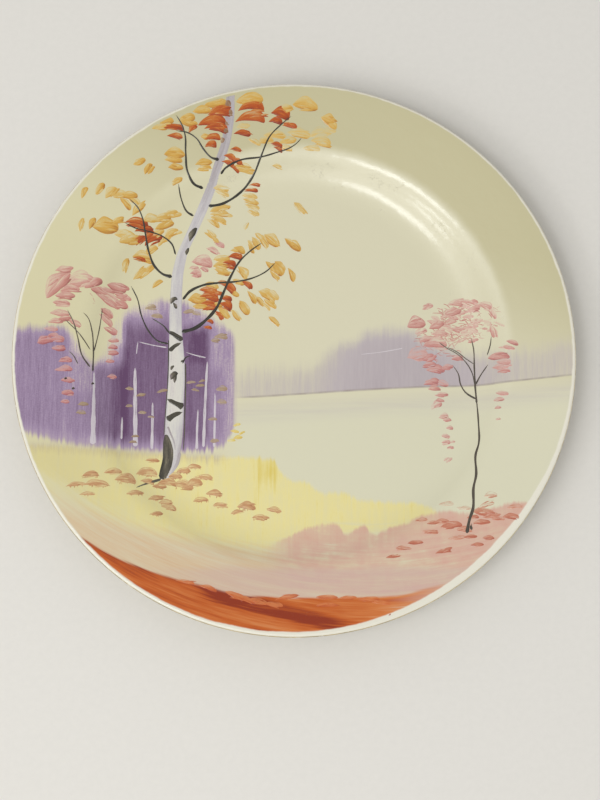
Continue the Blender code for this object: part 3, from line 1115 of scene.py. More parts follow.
BRANCHES = [  # thick end first: width, knob, route
    (1.25, 0.7, [(-42, 79.7), (-46, 81), (-49, 86), (-50, 95), (-50.3, 103), (-52, 108),
                 (-54.5, 112)]),
    (1.0, 0.9, [(-34.5, 92.2), (-38, 93), (-42, 97), (-45, 101.5), (-49, 104), (-54.5, 104.8)]),
    (0.95, 0.5, [(-46.5, 67.3), (-49.5, 69), (-52, 74), (-53.4, 81)]),
    (0.85, 0.2, [(-54.7, 49), (-56.5, 54), (-61, 57.5), (-68, 59.3), (-73, 60), (-77.7, 62)]),
    (1.3, 0.7, [(-56.2, 38.5), (-60, 39.5), (-64, 43), (-67, 50), (-68.5, 58), (-69.5, 64),
                (-72, 69.5), (-76, 73.3)]),
    (0.85, 0.2, [(-57.5, 7), (-62, 8), (-66, 12), (-70, 20), (-72, 28), (-75, 34)]),
    (0.85, 0.3, [(-51.5, 9), (-57, 12), (-60, 15.5), (-63, 17.5), (-65.5, 19)]),
    (1.0, 0.4, [(-34, 86), (-32, 88.5), (-29, 90.5), (-25, 92.3), (-15, 94), (-8, 96), (-2, 98),
                (0.5, 99.5), (3.7, 102.7)]),
    (1.35, 0.6, [(-39.8, 72), (-34, 73), (-29, 75.5), (-23, 80.5), (-18.5, 87), (-15, 95),
                 (-11, 103.5), (-6, 108.5), (-1.3, 112.3)]),
    (1.35, 0.2, [(-51.2, 27.7), (-48, 31.5), (-42, 34.5), (-35, 35.6), (-27, 36.2), (-19, 38),
                 (-13, 41), (-8.5, 45.3)]),
    (1.9, 0.2, [(-51.5, 12.5), (-46, 14), (-40, 18.5), (-35.5, 24), (-32.5, 31), (-29, 39),
                (-25, 46), (-20, 51), (-14.7, 54.8)]),
    (0.7, 0.1, [(-51, -2.3), (-49.5, 0.5), (-47, 1.5)]),
]
PALE_TRUNKS = [  # width at the top and at the foot, route from the foot up
    (2.3, 1.0, [(-90.2, -41), (-90.4, -24), (-90.8, -6)]),
    (1.0, 0.7, [(-78, -38), (-78, -33), (-78, -26.5)]),
    (2.0, 1.2, [(-71.8, -41), (-72.2, -22), (-72.6, -4)]),
    (1.3, 0.8, [(-64.4, -42), (-64.3, -32), (-64.3, -20)]),
    (1.1, 0.6, [(-44, -42), (-44, -34), (-43.6, -23)]),
    (1.3, 0.9, [(-41, -41), (-40.4, -20), (-39.6, -1)]),
    (1.0, 0.6, [(-36.2, -41), (-36, -30), (-36, -15.5)]),
    (0.6, 0.3, [(-58, 5.2), (-65, 6.4), (-71.5, 8)]),
    (0.6, 0.3, [(-40, 0.4), (-45, 1.6), (-50, 3.2)]),
    (0.5, 0.3, [(-72, 2), (-71.8, 5), (-71.4, 8.4)]),
    (0.4, 0.2, [(50, 5), (40, 3.2), (30, 2)]),
]
SMALL_TREE = [  # width, knob, route
    (0.75, 0.0, [(-91.3, -7), (-91.3, 5), (-92, 12), (-94, 18), (-96, 20)]),
    (0.5, 0.0, [(-91, 2.5), (-89, 12), (-87.5, 23)]),
    (0.75, 0.0, [(-92.5, -5), (-96, 0), (-98, 8), (-100, 15), (-103, 21)]),
    (0.5, 0.0, [(-92.5, 3), (-97, 9.5), (-104, 16.5)]),
    (0.55, 0.0, [(-97.7, -4), (-100, 0), (-102, 2)]),
]
SAPLING = [  # width, knob, route
    (1.5, 0.3, [(76.7, -81), (78, -75), (79.7, -70), (80.3, -60), (81.5, -55), (81.7, -45),
                (83.2, -40), (83.5, -30), (83, -20), (82.5, -13)]),
    (0.95, 0.0, [(83, -21), (82.5, -13), (82.3, -5), (82, 5), (81, 10)]),
    (0.85, 0.2, [(82.8, -19), (78, -15.5), (76, -12), (75, -7), (72.5, -3)]),
    (0.5, 0.0, [(82.5, -13), (81, -6), (78, -1), (75, 2), (70, 5), (66, 8)]),
    (0.5, 0.0, [(82, -2.5), (78, 0.5), (75, 3), (70, 5.5)]),
    (0.7, 0.2, [(82.5, -12.5), (85, -8), (88.5, -3)]),
    (0.5, 0.0, [(88, 1), (89.5, 6), (90, 10)]),
    (1.5, 0.2, [(78.9, -79.6), (78.6, -78), (79, -76.4)]),
]


# Edge lines down the shaded sides of the trunk, and the dark foot: height, left and right edge
EDGE_LEFT = [(-57.4, 9), (-57.5, -8), (-58.1, -20), (-58.7, -30), (-59, -36)]
EDGE_RIGHT = [(-49.6, -2), (-49.4, -12), (-49.6, -24), (-49.7, -34), (-50.2, -43)]
ROOT = [(-35, -58.6, -57.4), (-38, -59.4, -55.2), (-42, -59.6, -53.8), (-46, -59.6, -53.8),
        (-50, -60.4, -54.6), (-53.5, -61.2, -56.2), (-55.6, -60.6, -57.6)]
BLACK_SPECKS = [(-103, -11), (-99.6, -15.4), (-91.2, -12.6)]
RIBBON_ACROSS = np.array([-1, -0.95, -0.82, -0.6, -0.3, 0, 0.3, 0.6, 0.82, 0.95, 1])[None, :]


def lay_ribbon(sheet, rows, steps, lift, cover, depth):
    """A broad stroke between a left and a right edge, with its cover and depth as functions."""
    heights = np.array([row[0] for row in rows], float)
    order = np.argsort(heights)
    up = np.linspace(heights.min(), heights.max(), steps)
    left = np.interp(up, heights[order], np.array([rows[i][1] for i in order], float))
    right = np.interp(up, heights[order], np.array([rows[i][2] for i in order], float))
    soften = np.array([0.25, 0.5, 0.25])
    for _ in range(4):
        left[1:-1] = np.convolve(left, soften, "valid")
        right[1:-1] = np.convolve(right, soften, "valid")
    middle, half = (left + right)[:, None] / 2, (right - left)[:, None] / 2
    hair = half * RIBBON_ACROSS
    across, level = middle + hair, up[:, None]
    sheet.lay(across, np.broadcast_to(level, across.shape),
              lift * (1 - np.abs(RIBBON_ACROSS) ** 2) + 0 * across,
              cover(RIBBON_ACROSS, level), depth(RIBBON_ACROSS, level), 20 + hair)


class PLATE_OT_birch(bpy.types.Operator):
    """Paints the white trunk, its bark marks, its root and the branches"""

    bl_idname = "plate.birch"
    bl_label = "Birch"

    def execute(self, context):
        shop = Workshop(context, 5)
        hand = shop.hand
        pale = pigment_material(
            "trunk_white", shop.washes, swatch(226, 224, 209), swatch(192, 187, 190),
            swatch(146, 134, 136), streak=0.5)
        sheet = shop.sheet()

        def cover(side, up):
            thinned = 0.96 - 0.10 * smooth_step(60, 110, up)
            return (1 - smooth_step(0.93, 1.0, np.abs(side))) * thinned

        def depth(side, up):
            lilac = 0.22 + 0.22 * smooth_step(0, 24, up) + 0.26 * smooth_step(58, 98, up)
            lilac = lilac + 0.20 * smooth_step(-24, -34, up)
            rib = 0.07 * np.sin(side * 3.4 + up * 0.03)
            edge = 0.30 * smooth_step(0.72, 0.97, side) + 0.26 * smooth_step(-0.78, -0.97, side)
            return np.clip(lilac + rib + edge * smooth_step(120, 0, up), 0, 1)

        lay_ribbon(sheet, TRUNK, 150, 0.05, cover, depth)
        lay_line(sheet, hand, [(-57.4, -31), (-56, -34.5), (-54.4, -38.5), (-53.6, -43)], 1.1, 0.6,
                 0.85, height=0.03, rise=0.05)
        lay_line(sheet, hand, [(-51.6, -43), (-53, -49), (-55.4, -53)], 1.8, 0.9, 0.8, height=0.03,
                 rise=0.05)
        sheet.made("birch_trunk", pale)

        dark = pigment_material(
            "branch_grey", shop.washes, swatch(120, 112, 96), swatch(70, 66, 56),
            swatch(40, 38, 32), streak=0.8)
        sheet = shop.sheet()
        for wide, knob, route in BRANCHES:
            lay_line(sheet, hand, route, wide, 0.46, 0.90, knob=knob, height=0.06, rise=0.14)
        sheet.made("birch_branches", dark)

        sheet = shop.sheet()
        for place, length, width, tilt in BARK:
            lay_leaf(sheet, hand, place, length, width, tilt, 0.56, height=0.05, rise=0.07)
        for wide, narrow, route in WEDGES:
            lay_line(sheet, hand, route, wide, narrow, 0.56, height=0.05, rise=0.07)
        lay_line(sheet, hand, EDGE_LEFT, 0.55, 0.4, 0.62)
        lay_line(sheet, hand, EDGE_RIGHT, 0.7, 0.45, 0.5)

        def root_cover(side, up):
            return (1 - smooth_step(0.85, 1.0, np.abs(side))) + 0 * up

        def root_depth(side, up):
            return 0.40 + 0.12 * np.sin(side * 5 + up * 0.4) + 0.24 * smooth_step(0.3, 0.95, -side)

        lay_ribbon(sheet, ROOT, 40, 0.10, root_cover, root_depth)
        lay_line(sheet, hand, [(-61, -53.5), (-59.4, -55), (-57.2, -56.8)], 1.3, 0.6, 0.9)
        lay_line(sheet, hand, [(-59.8, -55.6), (-64, -57), (-68, -58.6), (-71.5, -60.4)], 1.5, 0.5,
                 0.42)
        sheet.made("bark_marks", dark)
        return {"FINISHED"}


class PLATE_OT_trees(bpy.types.Operator):
    """Paints the pale trunks of the wood, the small tree on the left and the sapling"""

    bl_idname = "plate.trees"
    bl_label = "Wood and young trees"

    def execute(self, context):
        shop = Workshop(context, 6)
        hand = shop.hand
        pale = pigment_material(
            "wiped_white", shop.washes, swatch(216, 210, 212), swatch(196, 186, 198),
            swatch(160, 146, 166), strength=0.92)
        sheet = shop.sheet()
        for wide, narrow, route in PALE_TRUNKS:
            lay_line(sheet, hand, route, wide * 1.15, narrow * 1.1, 0.26, height=0.04)
        sheet.made("pale_trunks", pale)
        thin = pigment_material(
            "sapling_grey", shop.washes, swatch(136, 122, 110), swatch(84, 76, 66),
            swatch(52, 46, 40), streak=0.8)
        sheet = shop.sheet()
        for wide, knob, route in SAPLING:
            lay_line(sheet, hand, route, wide, 0.42, 0.70, knob=knob, height=0.06, rise=0.14)
        sheet.made("sapling_stems", thin)
        sheet = shop.sheet()
        for wide, knob, route in SMALL_TREE:
            lay_line(sheet, hand, route, wide, 0.40, 0.66, knob=knob, height=0.05, rise=0.14)
        for place in BLACK_SPECKS:
            lay_leaf(sheet, hand, place, 1.5, 1.1, 20, 1.0, height=0.10)
        sheet.made("small_tree_stems", thin)
        return {"FINISHED"}


# Dabs: x, y, length, width, tilt
AMBER = [
    (-36.2, 117.6, 8.8, 3.8, 6), (-42.6, 114.2, 7.2, 2.8, 8), (-49.6, 110.2, 6.8, 3.2, 14),
    (-49.2, 108.2, 6, 2.4, -8), (-58.8, 109, 5.6, 2.6, 10), (-61, 106, 5.4, 2.2, 6),
    (-20.6, 119.6, 10.6, 4.4, 3), (-55.2, 94.4, 8, 3.6, 4), (-55.6, 91.6, 7, 2.4, -2),
    (-54.6, 88.2, 6, 2.2, -4), (-41.8, 90.6, 6.8, 2.2, 4), (-41.6, 88.4, 5.6, 1.8, 10),
    (-41, 102.4, 3.6, 2, 0), (-71, 90, 5, 2.2, 25), (-67.2, 87, 5, 2, 55), (-54, 82, 5, 1.8, 30),
    (-96, 74.8, 5, 1.9, 60), (-89, 77, 5.5, 2.2, 55), (-84, 75.4, 6, 3, 35),
    (-80, 74.6, 5.5, 2.6, 20), (-76, 74.4, 7, 2.8, 0), (-73.4, 71.8, 6, 2.4, -40),
    (-77.4, 70.8, 6, 2.2, -55), (-71.5, 68.4, 7, 2.6, 40), (-97.2, 60.2, 5.5, 1.8, 78),
    (-92.4, 61, 5, 1.9, 60), (-86.4, 59.6, 10, 5.6, 0), (-81, 62.5, 5, 2, 20),
    (-76, 54.6, 7.5, 4.2, 15), (-57, 67.6, 6, 2.4, 12), (-61, 65.6, 7.5, 2.8, 10),
    (-66, 64.4, 7, 3, 14), (-60, 62.2, 8, 2.4, 24), (-57, 59, 6.5, 2.2, 30),
    (-63, 58.4, 6, 2.2, 38), (-59.4, 56, 6, 2, 42), (-70, 47.6, 7.5, 3.8, -10),
    (-66, 50.4, 6, 2.6, 40), (-77.2, 43, 6, 2, 78), (-71, 39.6, 7, 2.4, 45),
    (-66.8, 41.6, 6, 2.2, 40), (-63, 35, 5, 1.8, 40), (5.2, 117.2, 10, 4.4, -12),
    (-4, 115.2, 6, 2.6, 10), (15.6, 110.4, 6, 3.8, -30), (-14.2, 55.6, 6.4, 2.6, -55),
    (-10.4, 56, 7.4, 3.6, -45), (-17.6, 54.6, 6, 2.2, -58), (-19.8, 52, 4.6, 1.4, -60),
    (0, 53.4, 6.5, 3, -35), (-33.4, 47, 6.4, 2.5, 0), (-33.2, 44, 6.6, 2.4, -6),
    (-32.8, 40.6, 5.6, 2.2, -20), (-25.2, 51.4, 5, 2.2, -25), (-23.6, 41, 5.6, 2.8, -50),
    (-7.6, 42.4, 6.5, 3.6, -45), (-11.2, 43.6, 5, 1.7, -50), (-9, 39.4, 5.2, 1.9, -40),
    (-1.2, 39.6, 6, 1.9, -65), (-44.5, 27.6, 7.4, 3.6, -4), (-43, 24.4, 6.2, 1.8, -6),
    (-12.4, 29.8, 7.4, 3.6, -30), (-11, 25.8, 6, 2.2, -40), (-15.8, 27, 5, 1.7, -45),
    (-23, 24, 6.6, 3, -60), (-19.4, 29, 6.2, 2, -60), (-32.4, 21.6, 6.2, 2.4, -50),
    (-26.8, 20.4, 5.4, 1.9, -55), (-9.2, 17.6, 5.5, 1.8, -50), (-38, 34.4, 6, 2, -10),
    (-25.6, 36, 5, 1.8, -20), (-35.6, 25.4, 5, 1.7, -20), (-27.6, 30.8, 4.6, 1.7, -30),
]
AMBER_PALE = [
    (-23.4, 107.6, 5.4, 1.8, 0), (-18.3, 100.6, 5.4, 1.6, -30), (-23.6, 88.6, 9, 3, -8),
    (-34, 80, 6.6, 2.4, -8), (-33.4, 78, 6, 1.8, -16), (-20.6, 77, 6.4, 1.7, -12),
    (-20, 74.6, 6.6, 1.8, -14), (-19.4, 72, 6, 1.8, -20), (-18.6, 69.2, 4.8, 1.6, -30),
    (-34.4, 71, 8.4, 2.2, 8), (-34.4, 68.4, 8, 2.2, 0), (-35, 66, 6.6, 1.9, -20),
    (-36.8, 64, 5.2, 1.6, -35), (2.6, 71.4, 6.5, 2, -50), (-38.2, 59, 5, 1.6, -50),
    (-36.4, 56, 3.8, 1.3, -40), (-9, 103.6, 9, 2.6, 0), (2, 104.4, 9, 3, -10),
    (-13, 100.8, 6, 2, 10), (12, 104.4, 9, 3.2, 5), (12.4, 100.8, 8, 2.8, -10),
    (-3, 101, 7, 2.2, 15), (8, 97.6, 7, 2, -6), (-3.6, 98, 5, 1.8, -10), (-22, 62.6, 3.4, 1.2, 60),
    (-8, 90.2, 4, 1.3, -10),
]
ORANGE = [
    (-34.2, 113.5, 9.5, 4.3, 2), (-37.7, 108.8, 11.3, 3.8, -2), (-34.9, 105.9, 7.6, 3.5, -4),
    (-37.8, 102, 6.4, 2.2, 0), (-38.4, 98.8, 4.4, 2.2, -4), (-55.8, 106, 8.6, 2.1, -2),
    (-55, 102.3, 6.2, 1.6, 0), (-47, 105.6, 4.6, 1.6, 40), (-20, 116, 10.2, 4, 6),
    (-20.4, 110.8, 11.6, 3.9, -3), (-24, 104.2, 6.6, 2.1, 0), (-27, 96.9, 4.4, 1.3, -4),
    (-29.5, 93.2, 5.6, 1.8, -25), (-26.4, 91.6, 5.4, 1.8, -40), (-30.6, 90.6, 5.4, 1.6, -20),
    (-27.6, 88.6, 4.4, 1.4, -40), (-6.4, 113, 7.5, 4, -20), (-8.6, 109.8, 5.5, 2.2, -6),
    (-2, 107.6, 6, 1.8, -14), (-8, 99.4, 5, 1.4, -20), (-7.4, 97.4, 4, 1.2, -30),
    (-18.4, 82, 4.5, 1.1, -4), (-20, 79.6, 5.5, 1.3, -8), (-72.4, 62.2, 9, 2.8, -4),
    (-69, 59.6, 7, 2.2, 0), (-65, 55.4, 8, 3.6, 24), (-70.4, 54.6, 5.5, 1.8, 40),
    (-71, 46.6, 5.5, 1.6, -10), (-27.2, 47.8, 5.8, 2.2, -10), (-30, 44.8, 5.6, 2, -12),
    (-29.4, 42.8, 3.8, 1.1, -10), (-21.8, 34.8, 5.4, 1.7, -30), (-39.4, 31.6, 7.2, 3, -20),
    (-39.4, 28.6, 8.2, 2.8, -6), (-39.4, 25.6, 7.2, 2.1, 0), (-39, 23.2, 5.4, 1.5, 0),
    (-30, 33, 5.8, 2.8, -40), (-31.2, 28, 4.6, 1.9, -4), (-31.4, 24.6, 5.4, 2.5, -30),
    (-33.2, 35.2, 4.6, 1.7, -20), (-34.6, 20.4, 4.6, 1.6, -50), (-35.6, 30.2, 4.4, 1.6, 0),
    (-39, 17.4, 3.6, 1.2, -10), (-39.4, 14.4, 3, 1.1, 0),
]
SMALL_PINK = [
    (-105, 39.2, 6.5, 2.2, 8), (-107.4, 31.8, 14, 5.4, 42), (-96.6, 34.2, 10.5, 4.6, 4),
    (-91.6, 33.4, 8, 2.8, 30), (-102, 30.2, 8, 2.8, 12), (-104, 27.2, 8, 2.4, 6),
    (-105.6, 23.8, 7, 2.2, 0), (-88, 29.6, 9, 3, -20), (-85, 26.6, 11, 3.8, -32),
    (-80, 25, 7, 2.6, -20), (-81.4, 32.6, 8, 3.4, -10), (-79.4, 29.2, 6, 2.4, -20),
    (-106.2, 19, 8, 2.4, 0), (-108, 15.2, 6, 1.8, 0), (-99.6, 15, 6, 1.8, -30),
    (-104.4, 16.6, 6, 1.8, 6), (-86, 17.4, 7, 2.4, -50), (-84, 12.8, 6, 2.2, -20),
    (-85.6, 20.8, 6, 2.4, -40), (-82.6, 8.2, 4.5, 1.6, 0), (-82.8, 5, 4, 1.5, 0),
    (-82.6, 2.2, 4.5, 1.6, 4), (-84, -1.6, 3.6, 1.3, 0), (-112.4, 6, 6.5, 3, 10),
    (-107, 7.2, 5.5, 2.4, -6), (-106.4, 2.8, 5.5, 2, 0), (-103.4, -2.6, 5.5, 2, 4),
    (-103.4, -6.4, 6, 2, -4), (-83, -8.6, 4, 1.4, 0), (-102.4, -11.6, 5, 1.8, 0),
    (-102, -17.6, 5, 1.8, 8), (-103, -21.6, 3.6, 1.3, 0), (-109.6, 11.6, 5, 1.8, 0),
]
CROWN_CENTRE, CROWN_HAIRS = (79, 17), 90
CROWN_GAPS = [(72.6, 10), (84.5, 11), (77, 17.5), (86, 20)]
SCRIBBLES = [((79, 17.5), (15, 9.5), 210), ((66, 6), (10, 9), 50), ((-84, 27), (8, 6), 20)]
OVER_TRUNK = [
    (-30.4, 117.6, 3.6, 3.0, 76), (-30.2, 113.4, 3.8, 3.4, -10), (-31.6, 108.6, 3.0, 1.9, 0),
    (-32.0, 105.2, 3.8, 2.8, -8), (-33.0, 100.9, 2.8, 2.2, 60),
]
CROWN = [
    (56, 16.4, 8, 4.6, 10), (61.4, 24.2, 5, 2.2, 20), (65.4, 15.6, 7, 3, 20),
    (66, 11.6, 6, 2.2, 0), (75, 26.2, 7, 2.6, 6), (79.6, 26, 6, 2.2, -20),
    (73.4, 21.6, 7, 2.2, 20), (87.6, 24, 6, 2.4, -30), (90.4, 20.2, 6, 2, -60),
    (90.6, 12, 6, 2.4, -70), (56.4, 2, 9, 4.6, 4), (61, 0.6, 6, 2.8, 20), (64.6, 7, 10, 4.4, 0),
    (62, -2.8, 6, 2, 0), (64.6, -5, 8, 3, 0), (70, -3.8, 5, 1.8, 0), (74.6, 0.2, 5, 2.2, 0),
    (63, -11.2, 7.5, 2.6, 4), (67.4, -11.4, 6, 2.2, -8), (64, -14, 5.5, 1.8, 0),
    (67.6, -16.6, 5, 1.6, 0), (65, -21.4, 4.5, 2.6, 25), (66.4, -19.4, 4, 1.4, 0),
    (68.2, -26.2, 3.6, 1.8, 0), (69.6, -28.4, 3.6, 1.5, 0), (70.6, -32, 3.2, 1.3, 0),
    (69, -36, 3.4, 1.3, 0), (69, -38.6, 4, 1.5, 0), (71.6, -38.6, 2.8, 1.1, 10),
    (70.8, -41.2, 3, 1.1, 0), (70, -47, 3.4, 1.3, 40), (93, -0.2, 9, 3, 0), (95, -2.8, 6, 2, -6),
    (93.6, -4.8, 7, 2.2, 0), (95, -7, 5.5, 1.6, 0), (99, 6, 5.5, 1.6, -20), (97, 3.8, 6, 1.6, -8),
    (94, -17.2, 5.5, 1.8, -6), (92.6, -20, 4.5, 1.4, 0), (92, -23.8, 2.8, 1.1, 0),
    (92, -29, 2, 0.8, 0), (60.4, 9, 6, 2.4, 10), (58.4, 12.6, 5, 2.2, 20), (82, 22.6, 6, 2, 10),
]
BARK_PINK = [
    (-42.4, 45.4, 10, 5.2, -12), (-37.8, 51, 6.4, 2.4, -28), (-34.6, 53.8, 5.6, 2.1, -32),
    (-45.2, 40, 5.6, 3.4, -20), (-46.2, 42.8, 4.6, 1.2, 0), (-41.4, 42, 4.4, 1.9, -24),
]
FALLEN = [
    (-81, -53, 7.5, 1.8, 0), (-91, -54.8, 7, 1.9, 8), (-97, -59.4, 8.5, 1.4, 2),
    (-88, -58.8, 10, 2.2, 4), (-92, -63.6, 6.5, 1.3, 0), (-75.4, -56.6, 9, 3.2, -4),
    (-66.4, -52.8, 9, 2.8, -4), (-64, -47, 6, 1.3, 0), (-57, -57.4, 8, 2.6, -4),
    (-50, -58.4, 9, 3, -6), (-45, -57.6, 7, 2.6, 6), (-50, -51.8, 6, 1.8, 0),
    (-45.4, -50, 6.5, 1.5, 4), (-40.4, -54.6, 7, 1.7, 0), (-62, -64.6, 6.5, 1.6, 4),
    (-71, -62.6, 7.5, 1.5, 2), (-57.6, -66.4, 6, 1.6, 0), (-56, -68.8, 6.5, 2, -16),
    (-61, -71.8, 5, 1.2, 0), (-42, -65, 6.5, 1.6, 4), (-36, -62.2, 7, 2.2, -10),
    (-33.4, -67.4, 6, 1.5, 0), (-21.4, -68, 8, 2.6, -8), (-25.6, -70.6, 5.5, 1.4, 6),
    (-15.4, -73, 6.5, 1.6, -10), (-9, -69.6, 6.5, 1.8, -6), (-53.6, -54.2, 6, 1.8, -6),
    (-66, -57, 6, 2, -10), (-60.6, -59, 6, 1.8, 0),
]
BANK_RED = [
    (84, -71.4, 9, 2.8, -2), (87.6, -73.4, 7, 2, 4), (90.6, -74.6, 5.5, 1.6, 0),
    (83.4, -76.2, 7, 1.8, 4), (70, -77.4, 9, 2.6, 0), (63, -76, 7, 1.4, 0), (61, -80.4, 6, 1.4, 4),
    (72, -83, 7, 1.5, 4), (78, -82.6, 6, 1.4, 0), (54, -85, 6.5, 1.5, 4),
    (48.6, -87.4, 6.5, 1.3, 0), (44, -91.2, 6, 1.1, 6), (66, -89.2, 6.5, 1.4, 8),
    (81, -86.2, 5.5, 1.3, 6), (86, -83.2, 5, 1.3, 0), (96, -73.8, 7, 2, 0), (66, -75.4, 6, 1.6, 0),
    (75, -79, 5.5, 1.6, 4), (79.6, -73.8, 5, 1.4, 0), (57, -74.4, 5, 1.2, 0),
]
BANK_PALE = [
    (68, -67.6, 7, 1.8, 0), (87.6, -63.8, 6, 2, 10), (85.6, -68.4, 7.5, 2, 14),
    (76, -69.6, 6, 1.4, 0), (98, -69.4, 7, 1.8, 4),
]
OCHRE = [
    (-66, 24, 5, 2, 10), (-63, 20, 5, 1.8, 0), (-48.4, 22, 5, 1.7, 0), (-45, 21.2, 4, 1.4, -10),
    (-33.6, 10.2, 6, 2.2, 0), (-36, 8.6, 4, 1.5, 0), (-33, -14, 5, 2.2, 0),
    (-33, -20, 4.5, 1.8, 0), (-37, -28, 4, 1.3, 0), (-36, -38, 4, 1.4, 0), (-75, -14, 3.6, 1.3, 0),
    (-70, -17, 4, 1.3, 6), (-75, -22, 3, 1.1, 0), (-69, -25, 3.6, 1.2, 0), (-60, -15, 5, 1.2, 10),
    (-95, -22.4, 4.5, 1.6, 0), (-96, -26.2, 4, 1.5, 6), (-72, -36, 3.4, 1, 0),
    (-73, -38.6, 3.4, 1, 10), (-47, -11, 4, 1.1, 0), (-43, -12.4, 4, 1, 8),
    (-45, -14.6, 3.6, 1, -6), (-42, -10.4, 3, 0.9, 10), (-65, -27, 3, 1, 0),
]
SUNLIT = [
    (-26, -30.6, 3.4, 1.1, 20), (-27, -33.6, 4, 1.2, -10), (-25.4, -36.4, 4, 1.3, 10),
    (-28.4, -37.8, 3.6, 1.1, 0), (-23.6, -34.4, 3, 1, 30),
]
TUFTS = [
    (-26, -108.6, 9, 3, -22), (-15.6, -111.2, 9, 2.6, -14), (-3.4, -109.4, 10, 2.2, 8),
    (14.6, -109.2, 9, 2, 2), (14.4, -112.8, 9, 2, -4), (33, -110.2, 9, 2.2, 4),
    (38.4, -111.8, 8, 1.8, -6), (-38, -105.2, 8, 2.2, -14), (-48, -102.6, 8, 1.8, -12),
    (-9, -112.6, 8, 2.4, -10), (24, -109.4, 7, 1.6, 0), (-20.6, -110.6, 8, 2.4, -18),
]


def lay_dabs(sheet, hand, dabs, load, spread=0.14, grow=(1.1, 1.2), echo=0.0, height=0.07,
             hairs=2, outline=0.0, arch=0.14, cut=0.0):
    """A run of dabs, each with the marks that the brush leaves beside it.

    echo is how often a second dab lies across the first, hairs how many thin marks lie along it,
    and outline how often its lower edge carries a dark line.
    """
    for x, y, length, width, tilt in dabs:
        length, width = length * grow[0], width * grow[1]
        weight = load + hand.uniform(-spread, spread)
        rise = hand.uniform(0.01, 0.05)
        lean = tilt + hand.uniform(-5, 5)
        edge = lay_leaf(sheet, hand, (x, y), length, width, lean, weight, height, rise, arch, cut)
        if hand.uniform() < echo:
            beside = (x + hand.uniform(-0.3, 0.3) * length, y + hand.uniform(-0.45, 0.45) * width)
            lay_leaf(sheet, hand, beside, length * 0.85, width * 0.7, tilt + hand.uniform(-16, 16),
                     weight + hand.uniform(-0.2, 0.05), height, rise * 0.6, arch, cut)
        turn = math.radians(lean)
        for _ in range(hairs):
            along, off = hand.uniform(-0.12, 0.24) * length, hand.uniform(-0.46, 0.40) * width
            spot = (x + along * math.cos(turn) - off * math.sin(turn),
                    y + along * math.sin(turn) + off * math.cos(turn))
            lay_leaf(sheet, hand, spot, length * hand.uniform(0.45, 0.85),
                     max(0.5, width * hand.uniform(0.18, 0.36)), lean + hand.uniform(-12, 12),
                     weight + hand.uniform(-0.26, 0.30), 0.03, height + rise * 0.6, arch,
                     grid=HAIR_GRID)
        if hand.uniform() < outline:
            lay_line(sheet, hand, edge, 0.75, 0.3, min(1.0, weight + 0.40), height=0.03,
                     rise=rise + 0.03)


def spot_in(hand, centre, reach):
    """A random place in an ellipse."""
    away, turn = math.sqrt(hand.uniform(0, 1)), hand.uniform(0, 2 * math.pi)
    return (centre[0] + reach[0] * away * math.cos(turn),
            centre[1] + reach[1] * away * math.sin(turn))


def lay_scribble(sheet, hand, centre, reach, count, width=0.42, load=0.5):
    """Short curled lines of a nearly dry liner, filling a crown."""
    for _ in range(count):
        x, y = spot_in(hand, centre, reach)
        length, tilt = hand.uniform(2.5, 6.0), math.radians(hand.uniform(-70, 40))
        curl = hand.uniform(-1.0, 1.0)
        route = []
        for share in (-0.5, -0.2, 0.15, 0.5):
            along, off = share * length, curl * (1 - 4 * share * share) + hand.uniform(-0.2, 0.2)
            route.append((x + along * math.cos(tilt) - off * math.sin(tilt),
                          y + along * math.sin(tilt) + off * math.cos(tilt)))
        lay_line(sheet, hand, route, width, width * 0.7, load * hand.uniform(0.7, 1.2), height=0.04)


